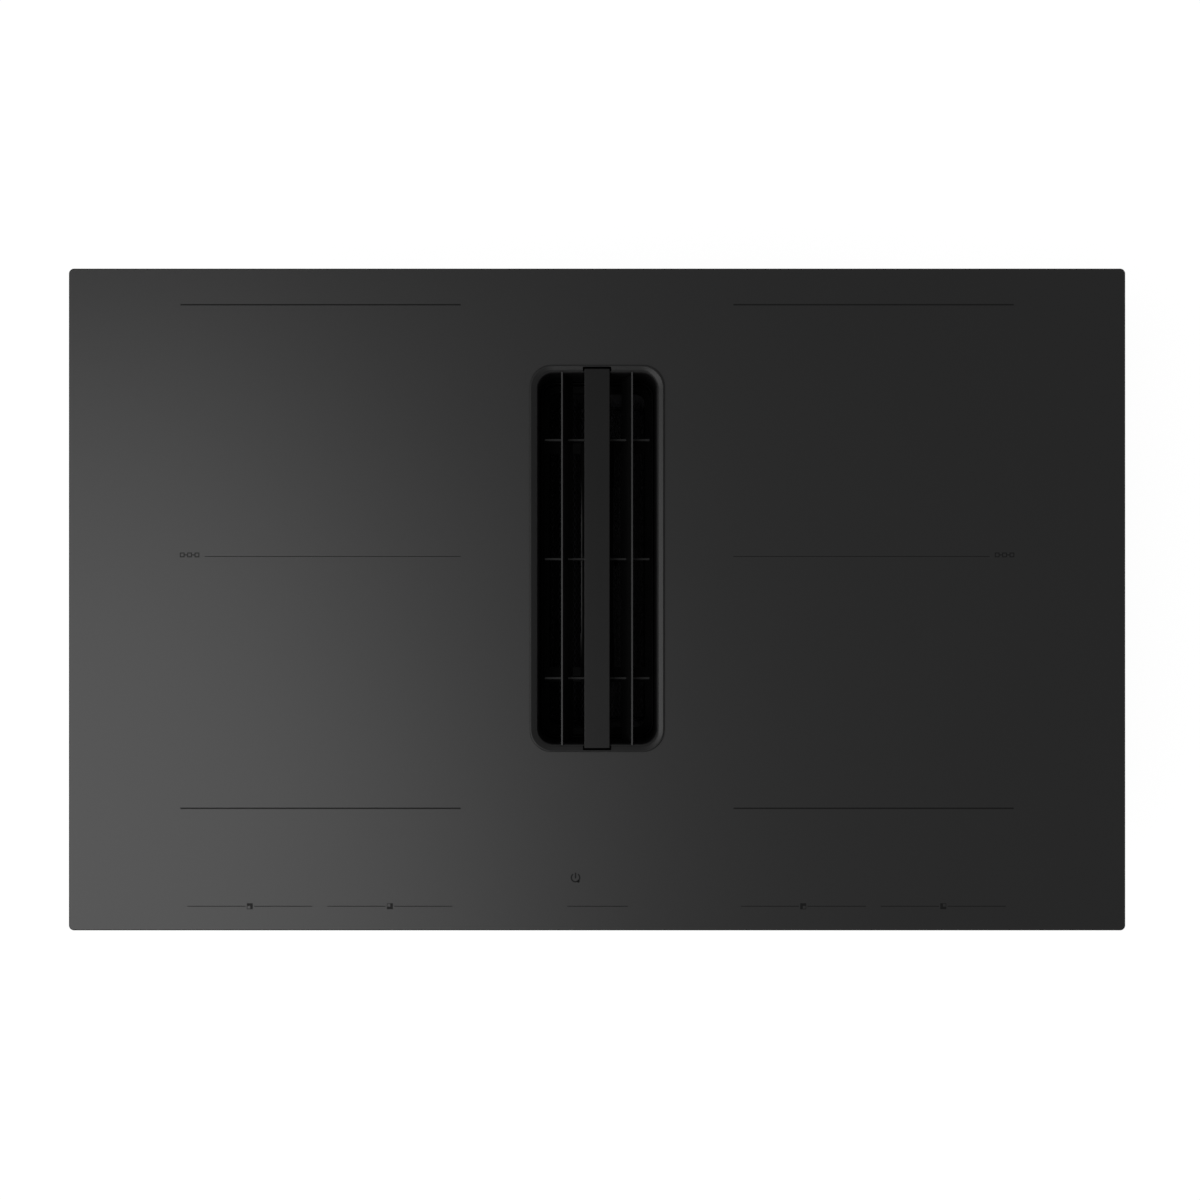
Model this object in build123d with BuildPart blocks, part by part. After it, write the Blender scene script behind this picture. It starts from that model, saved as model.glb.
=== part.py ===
"""Built-in induction cooktop with a downdraft extractor, in millimetres.

The origin is the middle of the plane where the foam seal rests on the worktop.
+X points to the right, +Y to the back and +Z up. The glass lies above the plane;
the hob case, the throat, the duct housing and the fan hang below it.
"""
from build123d import *
from math import cos, radians, sin
import os

os.makedirs("parts", exist_ok=True)

# ------------------------------------------------------------------ driving sizes
# glass and its bed on the worktop
glass_x = 830.0
glass_y = 520.0
glass_t = 4.0
glass_corner = 4.0
glass_bevel = 0.8
seal_t = 1.5
seal_w = 9.0
seal_inset = 2.0

# intake opening, its rolled rim and the throat below it
intake_y = 32.2
throat_x = 92.8
throat_y = 291.0
throat_corner = 12.0
throat_wall = 2.0
throat_depth = 76.0
collar_wall = 3.0
collar_depth = 8.0
rim_w = 6.4
rim_t = 1.6
rim_roll = 3.4
rim_slope = 5.3
rim_fall = 1.15
rim_corner = 17.0
rim_edge = 0.9
edge_search = 0.05
gasket_t = 0.4
gasket_inset = 0.7
glass_gap = 0.6
lip_w = 2.4
lip_t = 2.0

# grille: folded bar on a moulded lattice
bar_w = 20.2
bar_lap = 3.5
bar_t = 1.2
bar_skirt = 8.5
bar_corner = 1.0
bar_fold = 0.6
bar_side_gap = 1.1
bar_end_gap = 1.5
stud_r = 1.5
stud_l = 17.5
stud_pitch = 80.0
boss_r = 3.5
boss_l = 14.5
nut_r = 3.1
nut_t = 2.4
bumper_l = 2.4
bumper_w = 20.0
bumper_gap = 0.4
vane_x = 27.5
vane_drop = 31.3
vane_lean = 7.5
vane_bow = 1.7
vane_t = 1.2
vane_lap = 1.0
vane_sunk = 0.2
rib_pitch = 94.9
rib_t = 1.6
rib_x = 41.7
rib_sunk = 22.0
rib_h = 19.0
rib_tip_h = 7.0
web_t = 2.0
lattice_gap = 0.5

# grease filter and overflow tray
filter_gap = 1.0
filter_h = 28.0
filter_wall = 1.0
filter_lip = 5.0
mesh_h = 10.0
mesh_t = 1.0
mesh_folds = 14
crossbar_w = 12.0
handle_w = 27.5
handle_l = 200.0
handle_h = 18.0
handle_t = 1.5
grip_l = 120.0
grip_h = 8.0
tray_gap = 2.0
tray_h = 18.0
tray_wall = 1.6
tray_corner = 8.0
tab_w = 36.0
tab_h = 58.0
tab_t = 2.4
tab_hole_r = 9.0

# hob case
pan_x = 744.0
pan_y = 486.0
pan_depth = 55.0
pan_t = 1.0
pan_corner = 8.0
flange_w = 5.0
flange_t = 1.0
vent_l = 56.0
vent_w = 3.0
vent_pitch = 6.5
vents = 8
back_vent_h = 20.0
back_vent_pitch = 9.0
back_vents = 9

# coils, their trays and the layers above them
zone_x = 220.0
zone_y = 198.0
zone_far = 217.0
coil_gap = 10.0
coil_corner = 26.0
former_t = 4.0
former_rim = 2.0
former_cut = 10.0
winding_t = 6.0
winding_rim = 5.0
eye_x = 58.0
eye_y = 44.0
mat_t = 5.0
ferrite_w = 14.0
ferrite_t = 3.0
sensor_r = 8.0
coil_tray_t = 1.5
coil_tray_margin = 6.0
tray_inner = 58.0

# electronics
board_x = 200.0
board_y = 250.0
board_t = 1.6
board_far = 190.0
board_back = -15.0
standoff_h = 7.0
standoff_r = 3.0
heatsink_x = 44.0
heatsink_y = 210.0
heatsink_base = 4.0
fin_h = 16.0
fin_t = 1.4
fins = 8
heatsink_shift = 66.0
cooler = 70.0
cooler_t = 20.0
cooler_hole_r = 33.0
cooler_hub_r = 13.0
cooler_far = 325.0
cooler_back = 180.0
cooler_blades = 7
cooler_pitch = 40.0
cooler_blade_t = 1.4
cooler_spoke_w = 2.8
cooler_spoke_t = 2.5
cooler_run = 0.5
cooler_rotor_h = 13.5
cooler_tip_gap = 1.4
cooler_pin_r = 1.5
cooler_pin_l = 15.0
pin_gap = 0.05
capacitor_r = 11.0
capacitor_h = 22.0
capacitor_row = 66.0
choke_r = 16.5
choke_bore_r = 6.5
choke_h = 14.0
relay_x = 25.0
relay_y = 40.0
part_row = 22.0
part_pitch = 62.0

# touch controls under the front edge
touch_x = 680.0
touch_w = 28.0
touch_h = 9.5
touch_wall = 1.5
touch_board_t = 1.6
spring_r = 2.5
spring_h = 4.0
spring_pitch = 26.0
springs = 24

# mains inlet
terminal_x = 84.0
terminal_y = 78.0
terminal_h = 30.0
terminal_wall = 2.0
terminal_far = -200.0
pole_w = 10.5
pole_d = 17.0
poles = 5
pole_h = 15.0
pole_screw_r = 2.6
pole_screw_deep = 5.0
pole_screw_pitch = 8.5
pole_setback = 15.0
lid_chamfer = 1.0
gland_r = 6.5
gland_wall = 2.5
gland_flange_r = 12.0
gland_l = 12.0

# clamping brackets for a worktop
worktop_t = 30.0
bracket_w = 36.0
bracket_out = 30.0
bracket_down = 22.0
bracket_t = 2.0
bracket_pitch = 300.0
bracket_hole_r = 2.25
bracket_hole_out = 18.0
bracket_screw_r = 1.9
bracket_screw_down = 13.0
bracket_screw_pitch = 18.0
bracket_screw_l = 5.0
bracket_head_r = 3.8
bracket_head_t = 2.2

# duct housing, scroll and outlet
duct_w = 222.0
duct_h = 89.0
duct_wall = 2.2
duct_corner = 6.0
spigot_l = 26.5
spigot_flange = 3.0
spigot_side = 4.6
fan_y = -8.0
housing_wall = 2.5
housing_corner = 20.0
mouth_depth = 12.0
housing_side = 13.6
housing_front = 10.7
housing_right = 5.0
spigot_room = 0.5
tub_h = 50.5
tub_bevel = 8.0
sole_rib_h = 3.0
sole_rib_w = 2.5
joint_flange_w = 9.0
joint_flange_t = 3.0
screws_across = 3
screws_along = 3
small_sides = 12
screw_r = 1.8
screw_head_r = 3.6
screw_head_t = 2.4
screw_slack = 0.2
wall_rib_t = 2.0
wall_rib_h = 3.0
throat_seal_w = 4.0
partition_gap = 8.0
scroll_wall = 2.2
scroll_floor = 2.5
scroll_slack = 0.3
tongue_angle = 70.0
tongue_gap = 8.0
scroll_growth = 19.0
eye_r = 60.0
bell_h = 7.0
post_r = 5.0

# impeller and motor
impeller_r = 80.0
blade_in_r = 66.0
blade_h = 54.0
blade_t = 1.4
blade_sweep = 9.0
blades = 36
backplate_t = 2.0
shroud_t = 3.0
impeller_rise = 3.0
hub_r = 11.0
hub_h = 8.0
shaft_r = 4.0
shaft_gap = 0.05
bearing_r = 11.0
bearing_t = 6.0
rotor_r = 37.0
rotor_t = 2.0
rotor_gap = 0.8
stator_lift = 2.0
bush_t = 4.0
bush_r = 6.0
bush_hole_r = 2.6
motor_arm_r = 46.0
motor_plate_t = 2.0
motor_plate_r = 24.0

# ------------------------------------------------------------------ derived places
z_top = seal_t + glass_t
z_flange = z_top + gasket_t
z_rim = z_flange + rim_t
z_bar = z_rim - bar_t
z_pan = -pan_depth
z_pan_inside = z_pan + pan_t
z_lid = z_pan - housing_wall
housing_h = joint_flange_t + duct_h + 2 * (spigot_flange + spigot_room)
z_split = z_pan - housing_h
z_floor = z_split - tub_h
z_lip = -throat_depth + lip_t

collar_x = throat_x + 2 * collar_wall
collar_y = throat_y + 2 * collar_wall
collar_corner = throat_corner + collar_wall
throat_out_x = throat_x + 2 * throat_wall
throat_out_y = throat_y + 2 * throat_wall
throat_out_corner = throat_corner + throat_wall
glass_hole_x = collar_x + 2 * glass_gap
glass_hole_y = collar_y + 2 * glass_gap
glass_hole_corner = collar_corner + glass_gap
seal_hole_x = throat_out_x + 2 * throat_seal_w
seal_hole_y = throat_out_y + 2 * throat_seal_w
seal_hole_corner = throat_out_corner + throat_seal_w
bar_l = throat_y + 2 * bar_lap
vane_l = throat_y + 2 * vane_lap
skirt_l = throat_y - 2 * (bumper_gap + bumper_l)

partition_x = throat_out_x / 2 + partition_gap
fan_x = partition_x + spigot_side + duct_w / 2
housing_left_x = -throat_out_x / 2 - housing_side
housing_right_x = fan_x + duct_w / 2 + housing_right
housing_front_y = intake_y - throat_out_y / 2 - housing_front
housing_back_y = pan_y / 2 - spigot_l - spigot_flange
housing_x = housing_right_x - housing_left_x
housing_y = housing_back_y - housing_front_y
housing_mid = (housing_left_x + housing_x / 2, housing_front_y + housing_y / 2)
z_spigot = (z_split + joint_flange_t + z_pan) / 2
z_scroll = z_split + scroll_floor

z_motor_plate = z_lid - bush_t
z_stator_top = z_motor_plate - motor_plate_t
z_impeller = z_scroll + impeller_rise
z_backplate = z_impeller + blade_h
z_rotor = z_backplate + backplate_t
coil_x = zone_x - coil_gap
coil_y = zone_y - coil_gap
z_mat = seal_t - mat_t
z_former = z_mat - winding_t - former_t
z_coil_tray = z_former - coil_tray_t
z_board = z_pan_inside + standoff_h
wall_x = pan_x / 2
zones = [
    (side * zone_far, intake_y + row * zone_y / 2) for side in (-1, 1) for row in (-1, 1)
]


def at(z: float, x: float = 0.0, y: float = 0.0) -> Plane:
    """Horizontal plane whose origin is at the given place."""
    return Plane((x, y, z))


def intake(z: float) -> Plane:
    """Horizontal plane centred on the intake opening."""
    return at(z, 0, intake_y)


def upright(y: float) -> Plane:
    """Upright plane across the object, local x to the right and local y up."""
    return Plane.XZ.offset(-y)


def ring(outer: tuple, inner: tuple) -> None:
    """Rounded rectangular ring in the open sketch; each tuple is width, length, corner."""
    RectangleRounded(*outer)
    RectangleRounded(*inner, mode=Mode.SUBTRACT)


def case_wall(side: int) -> Plane:
    """Plane of the pan's side wall at the height of the bracket screws, facing outwards."""
    height = -worktop_t - bracket_screw_down
    return Plane((side * wall_x, 0, height), x_dir=(0, 1, 0), z_dir=(side, 0, 0))


def dot(radius: float, sides: int = small_sides) -> None:
    """Round of a small fastener, or of its hole, in the open sketch."""
    RegularPolygon(radius, sides)


def clipped(width: float, length: float, corner: float) -> None:
    """Rectangle with cut corners in the open sketch."""
    x, y = width / 2, length / 2
    Polygon(
        (x, y - corner),
        (x - corner, y),
        (corner - x, y),
        (-x, y - corner),
        (-x, corner - y),
        (corner - x, -y),
        (x - corner, -y),
        (x, corner - y),
    )


def bracket_dots(radius: float, sides: int = small_sides) -> None:
    """Rounds in the open sketch where the bracket screws pass a side wall."""
    for row in (-1, 1):
        with Locations((row * bracket_pitch / 2, 0)):
            with GridLocations(bracket_screw_pitch, 0, 2, 1):
                RegularPolygon(radius, sides)


def save(piece: BuildPart, label: str) -> None:
    """Label a finished piece and write its file."""
    piece.part.label = label
    export_step(piece.part, f"parts/{label}.step")


# ------------------------------------------------------------------ glass and seal
with BuildPart() as glass_panel:
    with BuildSketch(at(seal_t)):
        RectangleRounded(glass_x, glass_y, glass_corner)
        with Locations((0, intake_y)):
            RectangleRounded(glass_hole_x, glass_hole_y, glass_hole_corner, mode=Mode.SUBTRACT)
    extrude(amount=glass_t)
    upper_rim = glass_panel.faces().sort_by(Axis.Z)[-1].outer_wire().edges()
    chamfer(upper_rim, length=glass_bevel)
save(glass_panel, "glass_panel")

with BuildPart() as perimeter_seal:
    with BuildSketch(at(0)):
        seal_out = (glass_x - 2 * seal_inset, glass_y - 2 * seal_inset)
        RectangleRounded(*seal_out, glass_corner)
        Rectangle(seal_out[0] - 2 * seal_w, seal_out[1] - 2 * seal_w, mode=Mode.SUBTRACT)
    extrude(amount=seal_t)
save(perimeter_seal, "perimeter_seal")

# ------------------------------------------------------------------ intake rim and throat
def roll_mouth(body, gap=0.0):
    """Gives the mouth in a body's top the rim's slope and roll, set off from them by a gap."""
    top = body.faces().sort_by(Axis.Z)[-1]
    mouth = top.inner_wires()[0].edges()
    chamfer(mouth, length=rim_slope, length2=rim_fall, reference=top)
    z_brink = z_rim + gap - rim_fall
    brink = body.edges().filter_by_position(Axis.Z, z_brink - edge_search, z_brink + edge_search)
    fillet(brink, radius=rim_roll + gap)


with BuildPart() as intake_frame:
    with BuildSketch(intake(z_flange)):
        RectangleRounded(throat_x + 2 * rim_w, throat_y + 2 * rim_w, rim_corner)
    extrude(amount=rim_t)
    outer_edge = intake_frame.faces().sort_by(Axis.Z)[-1].edges()
    fillet(outer_edge, radius=rim_edge)
    with BuildSketch(intake(-collar_depth)):
        RectangleRounded(collar_x, collar_y, collar_corner)
    extrude(amount=collar_depth + z_flange)
    with BuildSketch(intake(-throat_depth)):
        RectangleRounded(throat_out_x, throat_out_y, throat_out_corner)
    extrude(amount=throat_depth)
    with BuildSketch(intake(-throat_depth)):
        RectangleRounded(throat_x - 2 * lip_w, throat_y - 2 * lip_w, throat_corner - lip_w)
    extrude(amount=throat_depth, mode=Mode.SUBTRACT)
    with BuildSketch(intake(z_lip)):
        RectangleRounded(throat_x, throat_y, throat_corner)
    extrude(amount=z_rim - z_lip, mode=Mode.SUBTRACT)
    roll_mouth(intake_frame)
    # seats for the two ends of the bar
    with BuildSketch(intake(z_bar)):
        RectangleRounded(bar_w + 2 * bar_side_gap, bar_l + 2 * bar_end_gap, bar_corner)
    extrude(amount=bar_t, mode=Mode.SUBTRACT)
save(intake_frame, "intake_frame")

with BuildPart() as intake_gasket:
    with BuildSketch(intake(z_top)):
        gasket_out = 2 * (rim_w - gasket_inset)
        ring(
            (throat_x + gasket_out, throat_y + gasket_out, rim_corner - gasket_inset),
            (glass_hole_x, glass_hole_y, glass_hole_corner),
        )
    extrude(amount=gasket_t)
save(intake_gasket, "intake_gasket")

with BuildPart() as throat_seal:
    with BuildSketch(intake(z_lid)):
        ring(
            (seal_hole_x, seal_hole_y, seal_hole_corner),
            (throat_out_x, throat_out_y, throat_out_corner),
        )
    extrude(amount=housing_wall + pan_t)
save(throat_seal, "throat_seal")

# ------------------------------------------------------------------ grille
with BuildPart() as grille_bar:
    with BuildSketch(intake(z_bar)):
        RectangleRounded(bar_w, bar_l, bar_corner)
    extrude(amount=bar_t)
    long_edges = grille_bar.faces().sort_by(Axis.Z)[-1].edges().filter_by(Axis.Y)
    fillet(long_edges, radius=bar_fold)
    with BuildSketch(intake(z_bar)):
        with GridLocations(bar_w - bar_t, 0, 2, 1):
            Rectangle(bar_t, skirt_l)
    extrude(amount=-(bar_skirt - bar_t))
    with BuildSketch(intake(z_bar)):
        with GridLocations(0, stud_pitch, 1, 4):
            dot(stud_r)
    extrude(amount=-stud_l)
save(grille_bar, "grille_bar")

# space that the lattice keeps clear of: the rolled rim and the throat wall
with BuildPart() as rim_space:
    with BuildSketch(intake(-throat_depth)):
        Rectangle(throat_x + 4 * rim_w, throat_y + 4 * rim_w)
        RectangleRounded(
            throat_x - 2 * lattice_gap,
            throat_y - 2 * lattice_gap,
            throat_corner - lattice_gap,
            mode=Mode.SUBTRACT,
        )
    extrude(amount=throat_depth + z_rim + lattice_gap)
    roll_mouth(rim_space, lattice_gap)

z_vane = z_rim - vane_sunk
z_vane_foot = z_vane - vane_drop
vane_foot_x = vane_x - vane_lean
vane_mid = (vane_x - vane_lean / 2 + vane_bow, z_vane - vane_drop / 2)
z_rib = z_rim - rib_sunk

with BuildPart() as grille_lattice:
    # two long vanes, curved inwards towards the throat
    with BuildSketch(upright(intake_y)):
        with BuildLine():
            outer = ThreePointArc(
                (vane_x + vane_t / 2, z_vane),
                (vane_mid[0] + vane_t / 2, vane_mid[1]),
                (vane_foot_x + vane_t / 2, z_vane_foot),
            )
            foot = Line(outer @ 1, (vane_foot_x - vane_t / 2, z_vane_foot))
            inner = ThreePointArc(
                foot @ 1,
                (vane_mid[0] - vane_t / 2, vane_mid[1]),
                (vane_x - vane_t / 2, z_vane),
            )
            Line(inner @ 1, outer @ 0)
        make_face()
        mirror(about=Plane.YZ)
    extrude(amount=vane_l / 2, both=True)
    # middle web under the bar
    with BuildSketch(upright(intake_y)):
        with BuildLine():
            Polyline(
                (web_t / 2, z_bar),
                (web_t / 2, z_rib - rib_h),
                (-web_t / 2, z_rib - rib_h),
                (-web_t / 2, z_bar),
                close=True,
            )
        make_face()
    extrude(amount=skirt_l / 2, both=True)
    # cross ribs, deep in the middle and thin at their free ends
    for place in (-1, 0, 1):
        with BuildSketch(upright(intake_y + place * rib_pitch)):
            with BuildLine():
                Polyline(
                    (-rib_x, z_rib),
                    (rib_x, z_rib),
                    (rib_x, z_rib - rib_tip_h),
                    (vane_foot_x, z_rib - rib_h),
                    (-vane_foot_x, z_rib - rib_h),
                    (-rib_x, z_rib - rib_tip_h),
                    close=True,
                )
            make_face()
        extrude(amount=rib_t / 2, both=True)
    # bosses that the studs of the bar pass through, with room for the nuts
    with BuildSketch(intake(z_bar)):
        with GridLocations(0, stud_pitch, 1, 4):
            dot(boss_r)
    extrude(amount=-boss_l)
    with BuildSketch(intake(z_bar - boss_l)):
        with GridLocations(0, stud_pitch, 1, 4):
            dot(nut_r + lattice_gap, 6)
    extrude(amount=-(stud_l - boss_l + lattice_gap), mode=Mode.SUBTRACT)
    with BuildSketch(intake(z_bar)):
        with GridLocations(0, stud_pitch, 1, 4):
            dot(stud_r + screw_slack)
    extrude(amount=-boss_l, mode=Mode.SUBTRACT)
    add(rim_space.part, mode=Mode.SUBTRACT)
save(grille_lattice, "grille_lattice")

with BuildPart() as grille_nuts:
    with BuildSketch(intake(z_bar - boss_l)):
        with GridLocations(0, stud_pitch, 1, 4):
            RegularPolygon(nut_r, 6)
            RegularPolygon(stud_r + pin_gap, small_sides, mode=Mode.SUBTRACT)
    extrude(amount=-nut_t)
save(grille_nuts, "grille_nuts")

with BuildPart() as grille_bumpers:
    with BuildSketch(intake(z_bar)):
        with GridLocations(0, skirt_l + bumper_l, 1, 2):
            Rectangle(bumper_w, bumper_l)
    extrude(amount=-(bar_skirt - bar_t))
save(grille_bumpers, "grille_bumpers")

# ------------------------------------------------------------------ grease filter
filter_x = throat_x - 2 * filter_gap
filter_y = throat_y - 2 * filter_gap
filter_corner = throat_corner - filter_gap
cassette_x = filter_x - 2 * filter_wall
cassette_y = filter_y - 2 * filter_wall
cassette_corner = filter_corner - filter_wall
z_mesh = z_lip + filter_wall
z_retainer = z_mesh + mesh_h
z_handle = z_retainer + filter_wall
window = (cassette_x - 2 * filter_lip, cassette_y - 2 * filter_lip, cassette_corner - filter_lip / 2)

with BuildPart() as filter_frame:
    with BuildSketch(intake(z_lip)):
        ring((filter_x, filter_y, filter_corner), (cassette_x, cassette_y, cassette_corner))
    extrude(amount=filter_h)
    with BuildSketch(intake(z_lip), intake(z_retainer)):
        ring((cassette_x, cassette_y, cassette_corner), window)
    extrude(amount=filter_wall)
    with BuildSketch(intake(z_retainer)):
        with GridLocations(0, handle_l - crossbar_w, 1, 2):
            Rectangle(cassette_x, crossbar_w)
    extrude(amount=filter_wall)
save(filter_frame, "filter_frame")

fold_w = (cassette_x - 2 * mesh_t) / mesh_folds
fold_h = (mesh_h - 2 * mesh_t) / 2
with BuildPart() as filter_mesh:
    # pleated mesh sheet
    with BuildSketch(upright(intake_y)):
        with BuildLine():
            Polyline(
                [
                    (fold_w * (k - mesh_folds / 2), z_mesh + mesh_h / 2 + fold_h * (-1) ** k)
                    for k in range(mesh_folds + 1)
                ]
            )
        trace(line_width=mesh_t)
    extrude(amount=cassette_y / 2 - cassette_corner, both=True)
save(filter_mesh, "filter_mesh")

with BuildPart() as filter_handle:
    # upright flanks under a half-round crown
    z_crown = z_handle + handle_h - handle_w / 2
    with BuildSketch(upright(intake_y)):
        for half, fill in ((handle_w / 2, Mode.ADD), (handle_w / 2 - handle_t, Mode.SUBTRACT)):
            with BuildLine():
                Polyline((-half, z_crown), (-half, z_handle), (half, z_handle), (half, z_crown))
                ThreePointArc((half, z_crown), (0, z_crown + half), (-half, z_crown))
            make_face(mode=fill)
    extrude(amount=handle_l / 2, both=True)
    # finger windows in both flanks
    with BuildSketch(intake(z_handle)):
        Rectangle(handle_w, grip_l)
    extrude(amount=grip_h, mode=Mode.SUBTRACT)
save(filter_handle, "filter_handle")

# ------------------------------------------------------------------ overflow tray
tray_x = throat_x - 2 * (lip_w + tray_gap)
tray_y = throat_y - 2 * (lip_w + tray_gap)
tray_bore = (tray_x - 2 * tray_wall, tray_y - 2 * tray_wall, tray_corner - tray_wall)
with BuildPart() as drip_tray:
    with BuildSketch(intake(z_floor)):
        RectangleRounded(tray_x, tray_y, tray_corner)
    extrude(amount=tray_h)
    with BuildSketch(intake(z_floor + tray_wall)):
        RectangleRounded(*tray_bore)
    extrude(amount=tray_h - tray_wall, mode=Mode.SUBTRACT)
    # upright tab with a finger hole, to lift the tray out by
    with BuildSketch(upright(intake_y)):
        with Locations((0, z_floor + tab_h / 2)):
            RectangleRounded(tab_w, tab_h, tab_w / 3)
        with Locations((0, z_floor + tab_h / 4)):
            Rectangle(tab_w, tab_h / 2)
        with Locations((0, z_floor + tab_h - tab_w / 2)):
            Circle(tab_hole_r, mode=Mode.SUBTRACT)
    extrude(amount=tab_t / 2, both=True)
save(drip_tray, "drip_tray")

# ------------------------------------------------------------------ hob case
with BuildPart() as hob_pan:
    with BuildSketch(at(z_pan)):
        RectangleRounded(pan_x, pan_y, pan_corner)
    extrude(amount=pan_depth + seal_t)
    with BuildSketch(at(seal_t - flange_t)):
        RectangleRounded(pan_x + 2 * flange_w, pan_y + 2 * flange_w, pan_corner + flange_w)
    extrude(amount=flange_t)
    with BuildSketch(at(z_pan_inside)):
        RectangleRounded(pan_x - 2 * pan_t, pan_y - 2 * pan_t, pan_corner - pan_t)
    extrude(amount=pan_depth + seal_t - pan_t, mode=Mode.SUBTRACT)
    with BuildSketch(intake(z_pan)):
        RectangleRounded(seal_hole_x, seal_hole_y, seal_hole_corner)
    extrude(amount=pan_t, mode=Mode.SUBTRACT)
    # air slots below the two cooling fans
    with BuildSketch(at(z_pan)):
        for side in (-1, 1):
            with Locations((side * cooler_far, cooler_back)):
                with GridLocations(0, vent_pitch, 1, vents):
                    Rectangle(vent_l, vent_w)
    extrude(amount=pan_t, mode=Mode.SUBTRACT)
    # warm-air slots in the back wall, one group behind each board
    with BuildSketch(upright(pan_y / 2)):
        for side in (-1, 1):
            with Locations((side * board_far, z_pan / 2)):
                with GridLocations(back_vent_pitch, 0, back_vents, 1):
                    Rectangle(vent_w, back_vent_h)
    extrude(amount=pan_t, mode=Mode.SUBTRACT)
    # holes for the bracket screws
    for side in (-1, 1):
        with BuildSketch(case_wall(side)):
            bracket_dots(bracket_screw_r + screw_slack)
        extrude(amount=-pan_t, mode=Mode.SUBTRACT)
save(hob_pan, "hob_pan")

# ------------------------------------------------------------------ coils
inner_x = pan_x / 2 - pan_t
inner_y = pan_y / 2 - pan_t
coil_tray_w = inner_x - coil_tray_margin - tray_inner
coil_tray_mid = tray_inner + coil_tray_w / 2
coil_tray_front = intake_y - zone_y - coil_tray_margin
coil_tray_back = intake_y + zone_y + coil_tray_margin
coil_tray_l = coil_tray_back - coil_tray_front
coil_tray_y = coil_tray_front + coil_tray_l / 2

for side, name in ((-1, "left"), (1, "right")):
    with BuildPart() as coil_tray:
        # aluminium sheet with two folded legs that stand in the pan
        with BuildSketch(at(z_coil_tray, side * coil_tray_mid, coil_tray_y)):
            Rectangle(coil_tray_w, coil_tray_l)
        extrude(amount=coil_tray_t)
        with BuildSketch(at(z_pan_inside, side * coil_tray_mid, coil_tray_y)):
            with GridLocations(coil_tray_w - coil_tray_t, 0, 2, 1):
                Rectangle(coil_tray_t, coil_tray_l)
        extrude(amount=z_coil_tray - z_pan_inside)
    save(coil_tray, f"coil_tray_{name}")

for number, (x, y) in enumerate(zones, start=1):
    with BuildPart() as coil_former:
        # moulded plate with a low rim round its edge and beds for the ferrite bars below
        with BuildSketch(at(z_former, x, y)):
            clipped(coil_x, coil_y, former_cut)
            RegularPolygon(sensor_r + former_rim, small_sides, mode=Mode.SUBTRACT)
        extrude(amount=former_t + winding_t)
        with BuildSketch(at(z_former + former_t, x, y)):
            clipped(coil_x - 2 * former_rim, coil_y - 2 * former_rim, former_cut)
        extrude(amount=winding_t, mode=Mode.SUBTRACT)
        with BuildSketch(at(z_former, x, y)):
            with GridLocations(coil_x / 3, coil_y / 2, 3, 2):
                Rectangle(ferrite_w, coil_y / 3)
        extrude(amount=ferrite_t, mode=Mode.SUBTRACT)
    save(coil_former, f"coil_former_{number}")

    with BuildPart() as coil_winding:
        with BuildSketch(at(z_former + former_t, x, y)):
            ring(
                (coil_x - 2 * winding_rim, coil_y - 2 * winding_rim, coil_corner - winding_rim),
                (eye_x, eye_y, eye_y / 3),
            )
        extrude(amount=winding_t)
    save(coil_winding, f"coil_winding_{number}")

with BuildPart() as coil_ferrites:
    for x, y in zones:
        with BuildSketch(at(z_former, x, y)):
            with GridLocations(coil_x / 3, coil_y / 2, 3, 2):
                Rectangle(ferrite_w, coil_y / 3)
        extrude(amount=ferrite_t)
save(coil_ferrites, "coil_ferrites")

with BuildPart() as coil_sensors:
    for x, y in zones:
        with BuildSketch(at(z_former, x, y)):
            dot(sensor_r)
        extrude(amount=seal_t - z_former)
save(coil_sensors, "coil_sensors")

with BuildPart() as insulation_mats:
    for x, y in zones:
        with BuildSketch(at(z_mat, x, y)):
            clipped(coil_x, coil_y, former_cut)
            RegularPolygon(sensor_r + former_rim, small_sides, mode=Mode.SUBTRACT)
        extrude(amount=mat_t)
save(insulation_mats, "insulation_mats")

# ------------------------------------------------------------------ electronics
with BuildPart() as board_standoffs:
    for side in (-1, 1):
        with BuildSketch(at(z_pan_inside, side * board_far, board_back)):
            with GridLocations(board_x - 6 * standoff_r, board_y - 6 * standoff_r, 2, 2):
                dot(standoff_r, 6)
        extrude(amount=standoff_h)
save(board_standoffs, "board_standoffs")

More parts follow.
